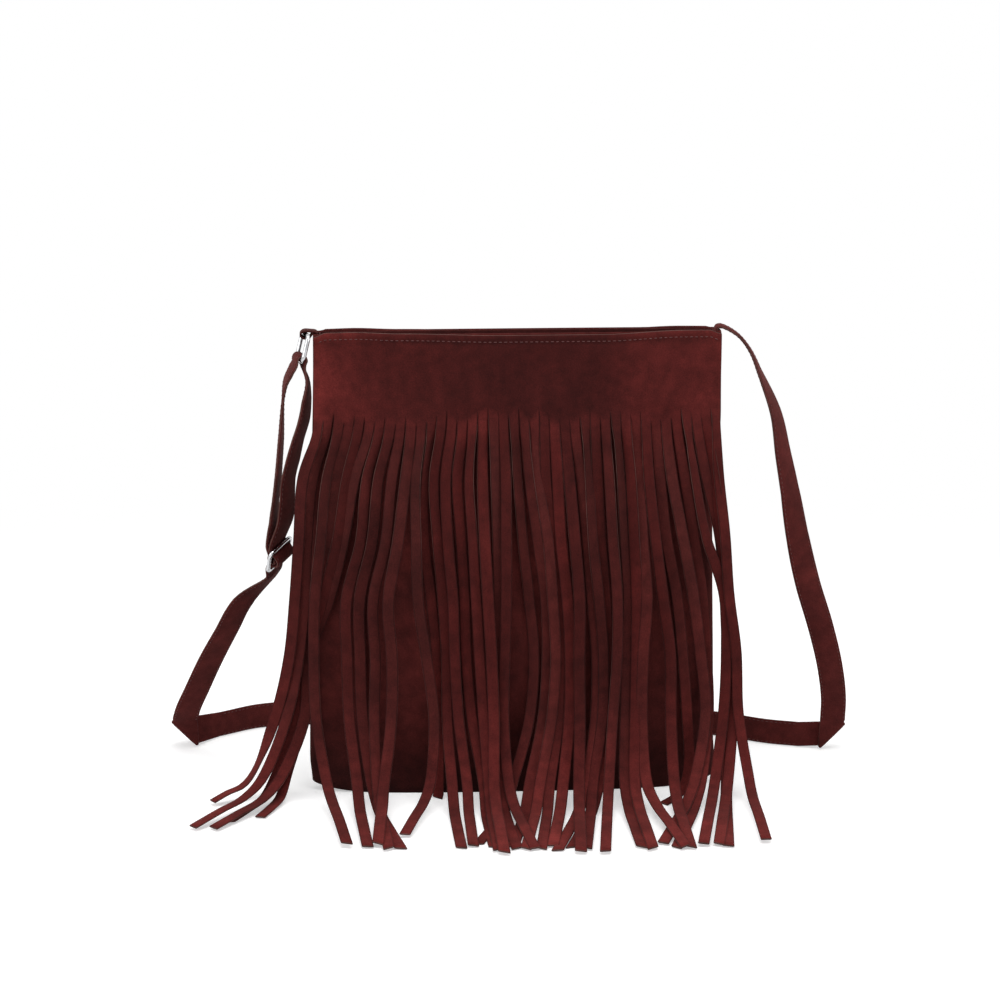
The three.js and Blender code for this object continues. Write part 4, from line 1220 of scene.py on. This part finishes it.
def make_lining():
    top = BAG_HEIGHT - FACING_HEIGHT - CLEARANCE
    floor = SUEDE + CLEARANCE
    steps = 36
    levels = [floor, floor + 1, floor + 4, *[floor + 4 + (top - floor - 4) * k / 30 for k in range(1, 31)]]

    def slack(p):
        free = along([(0, 0), (40, 1), (225, 1), (252, 0)], p.z)
        wave = 0.5 * math.sin(p.x / 11 + p.z / 30) + 0.4 * math.sin(p.z / 13 - p.x / 19)
        moved = dent(p)
        return Vector((moved.x, moved.y - math.copysign(0.35 + 0.25 * wave, p.y) * free, moved.z))

    outer = [bag_ring(z, SUEDE + CLEARANCE + 0.2, steps, FACING_END_INSET, swell=slack) for z in levels]
    inset = SUEDE + CLEARANCE + 0.2 + LINING
    end_inset = FACING_END_INSET + LINING
    raised = [max(z, floor + LINING) for z in reversed(levels)]
    inner = [bag_ring(z, inset, steps, end_inset, swell=slack) for z in raised]
    verts, faces = skin([*outer, *inner], capped=False)
    count = 2 * (steps + 1)
    for start in (0, len(verts) - count):
        for i in range(steps):
            faces.append((start + i, start + i + 1, start + count - 2 - i, start + count - 1 - i))
    lining = outward(piece("lining_bag", verts, faces))
    lining.data.materials.append(LINING_CLOTH)
    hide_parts("lining")
    return lining


def make_pocket():
    width, height, top = 130, 105, 215
    inset = SUEDE + LINING + 4 * CLEARANCE + 0.9
    sections = []
    for k in range(33):
        x = -width / 2 + width * k / 32
        levels = [top - height * n / 16 for n in range(17)]
        bulge = 0.5 * math.sin(math.pi * k / 32)
        far = [Vector((x, depth_at(x, z, inset, FACING_END_INSET), z)) for z in levels]
        near = []
        for n, z in enumerate(levels):
            out = LINING + bulge * (1 - n / 16) + (0.4 if n < 2 else 0)
            near.append(Vector((x, depth_at(x, z, inset + out, FACING_END_INSET), z)))
        sections.append(far + near[::-1])
    pocket = outward(piece("pocket", *skin(sections)))
    pocket.data.materials.append(LINING_CLOTH)
    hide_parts("slip_pocket")
    return pocket


def make_snap(name, cad_name, side, profile):
    """A turned disc: profile gives (radius, height above the facing), from the rim to the middle."""
    height = BAG_HEIGHT - 16
    low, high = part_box(cad_name)
    seat = (high.y if side > 0 else low.y) / MM
    sections = []
    for radius, out in profile:
        ring = []
        for k in range(40):
            a = math.tau * k / 40
            ring.append(Vector((radius * math.cos(a), seat - side * out, height + radius * math.sin(a))))
        sections.append(ring)
    snap = outward(piece(name, *skin(sections)))
    snap.data.materials.append(CHROME)
    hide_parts(cad_name)
    return snap


# Camera, lights and floor


def make_camera():
    """The photograph's view: 13.5 degrees above the level line, turned 3.5 degrees to the bag's left."""
    ahead = Vector((math.sin(VIEW_TURN), math.cos(VIEW_TURN), 0))
    right = Vector((math.cos(VIEW_TURN), -math.sin(VIEW_TURN), 0))
    aim = VIEW_AIM - math.atan((PICTURE_Y - PICTURE_MIDDLE) / FOCAL)
    aside = (PICTURE_MIDDLE - PICTURE_X) / FOCAL * 1.8
    data = bpy.data.cameras.new("camera")
    data.lens = FOCAL / 1000 * 36
    data.sensor_width = 36
    data.clip_start = 0.05
    data.clip_end = 60
    camera = bpy.data.objects.new("camera", data)
    bpy.context.collection.objects.link(camera)
    camera.location = ahead * (-VIEW_BACK / 1000) + right * aside + Vector((0, 0, VIEW_HEIGHT / 1000))
    look = ahead * math.cos(aim) - Vector((0, 0, math.sin(aim)))
    camera.rotation_euler = look.to_track_quat("-Z", "Y").to_euler()
    bpy.context.scene.camera = camera


def area_light(name, place, target, size, power):
    data = bpy.data.lights.new(name, "AREA")
    data.shape = "RECTANGLE"
    data.size, data.size_y = size
    data.energy = power
    light = bpy.data.objects.new(name, data)
    bpy.context.collection.objects.link(light)
    light.location = place
    light.rotation_euler = (Vector(target) - Vector(place)).to_track_quat("-Z", "Y").to_euler()


def seen_directly(tree):
    """True for the camera, and for what it sees in metal or through the scene."""
    rays = node(tree, "ShaderNodeLightPath")
    seen = math_node(tree, "MAXIMUM", rays.outputs["Is Camera Ray"], rays.outputs["Is Transmission Ray"])
    return math_node(tree, "MAXIMUM", seen, rays.outputs["Is Glossy Ray"])


def make_floor():
    mesh = bpy.data.meshes.new("floor")
    mesh.from_pydata([(-15, -6, 0), (15, -6, 0), (15, 24, 0), (-15, 24, 0)], [], [(0, 1, 2, 3)])
    floor = bpy.data.objects.new("floor", mesh)
    bpy.context.collection.objects.link(floor)
    made, tree, shader = new_material("floor")
    shader.inputs["Base Color"].default_value = (0.8, 0.8, 0.8, 1)
    shader.inputs["Roughness"].default_value = 0.9
    shader.inputs["Specular IOR Level"].default_value = 0.0
    output = next(n for n in tree.nodes if n.type == "OUTPUT_MATERIAL")
    seen = seen_directly(tree)
    glow = node(tree, "ShaderNodeEmission")
    added = node(tree, "ShaderNodeAddShader")
    tree.links.new(math_node(tree, "MULTIPLY", seen, 0.42), glow.inputs["Strength"])
    tree.links.new(shader.outputs[0], added.inputs[0])
    tree.links.new(glow.outputs[0], added.inputs[1])
    white = node(tree, "ShaderNodeEmission")
    far = node(tree, "ShaderNodeVectorMath", operation="LENGTH")
    tree.links.new(node(tree, "ShaderNodeTexCoord").outputs["Object"], far.inputs[0])
    fade = node(tree, "ShaderNodeMapRange", interpolation_type="SMOOTHSTEP")
    fade.inputs["From Min"].default_value = 0.35
    fade.inputs["From Max"].default_value = 0.9
    tree.links.new(far.outputs["Value"], fade.inputs["Value"])
    white_share = math_node(tree, "MULTIPLY", fade.outputs[0], seen)
    blend = node(tree, "ShaderNodeMixShader")
    tree.links.new(white_share, blend.inputs[0])
    tree.links.new(added.outputs[0], blend.inputs[1])
    tree.links.new(white.outputs[0], blend.inputs[2])
    tree.links.new(blend.outputs[0], output.inputs["Surface"])
    mesh.materials.append(made)


def make_world():
    world = bpy.data.worlds.new("studio")
    bpy.context.scene.world = world
    world.use_nodes = True
    tree = world.node_tree
    back = tree.nodes["Background"]
    back.inputs["Color"].default_value = (1, 1, 1, 1)
    strength = node(tree, "ShaderNodeMapRange")
    strength.inputs["To Min"].default_value = 0.3
    strength.inputs["To Max"].default_value = 1.0
    tree.links.new(seen_directly(tree), strength.inputs["Value"])
    tree.links.new(strength.outputs[0], back.inputs["Strength"])


# The making of it all

make_camera()
make_world()
make_floor()
area_light("left softbox", (-1.3, -0.7, 0.75), (0, 0, 0.12), (0.9, 1.1), 11)
area_light("right softbox", (1.35, -0.6, 0.7), (0, 0, 0.12), (0.9, 1.1), 8)
area_light("top softbox", (0, -0.45, 1.6), (0, 0, 0.1), (1.3, 1.0), 19)

make_body()
make_fringe()
make_facing()
make_lining()
make_pocket()
rim_stitches()
make_ring()
make_slider()
make_tab()
blended(make_strap())
blended(strap_stitches())
make_snap(
    "snap_disc_back",
    "snap_socket",
    1,
    [(9, 0), (9, 1.4), (8.4, 1.9), (4.2, 1.9), (3.6, 1.2), (0.4, 1.2)],
)
make_snap(
    "snap_disc_front",
    "snap_stud",
    -1,
    [(9, 0), (9, 1.7), (8.4, 2.3), (3.4, 2.3), (3.0, 3.4), (2.4, 3.9), (0.4, 4.0)],
)

bpy.context.scene.view_settings.view_transform = "Standard"
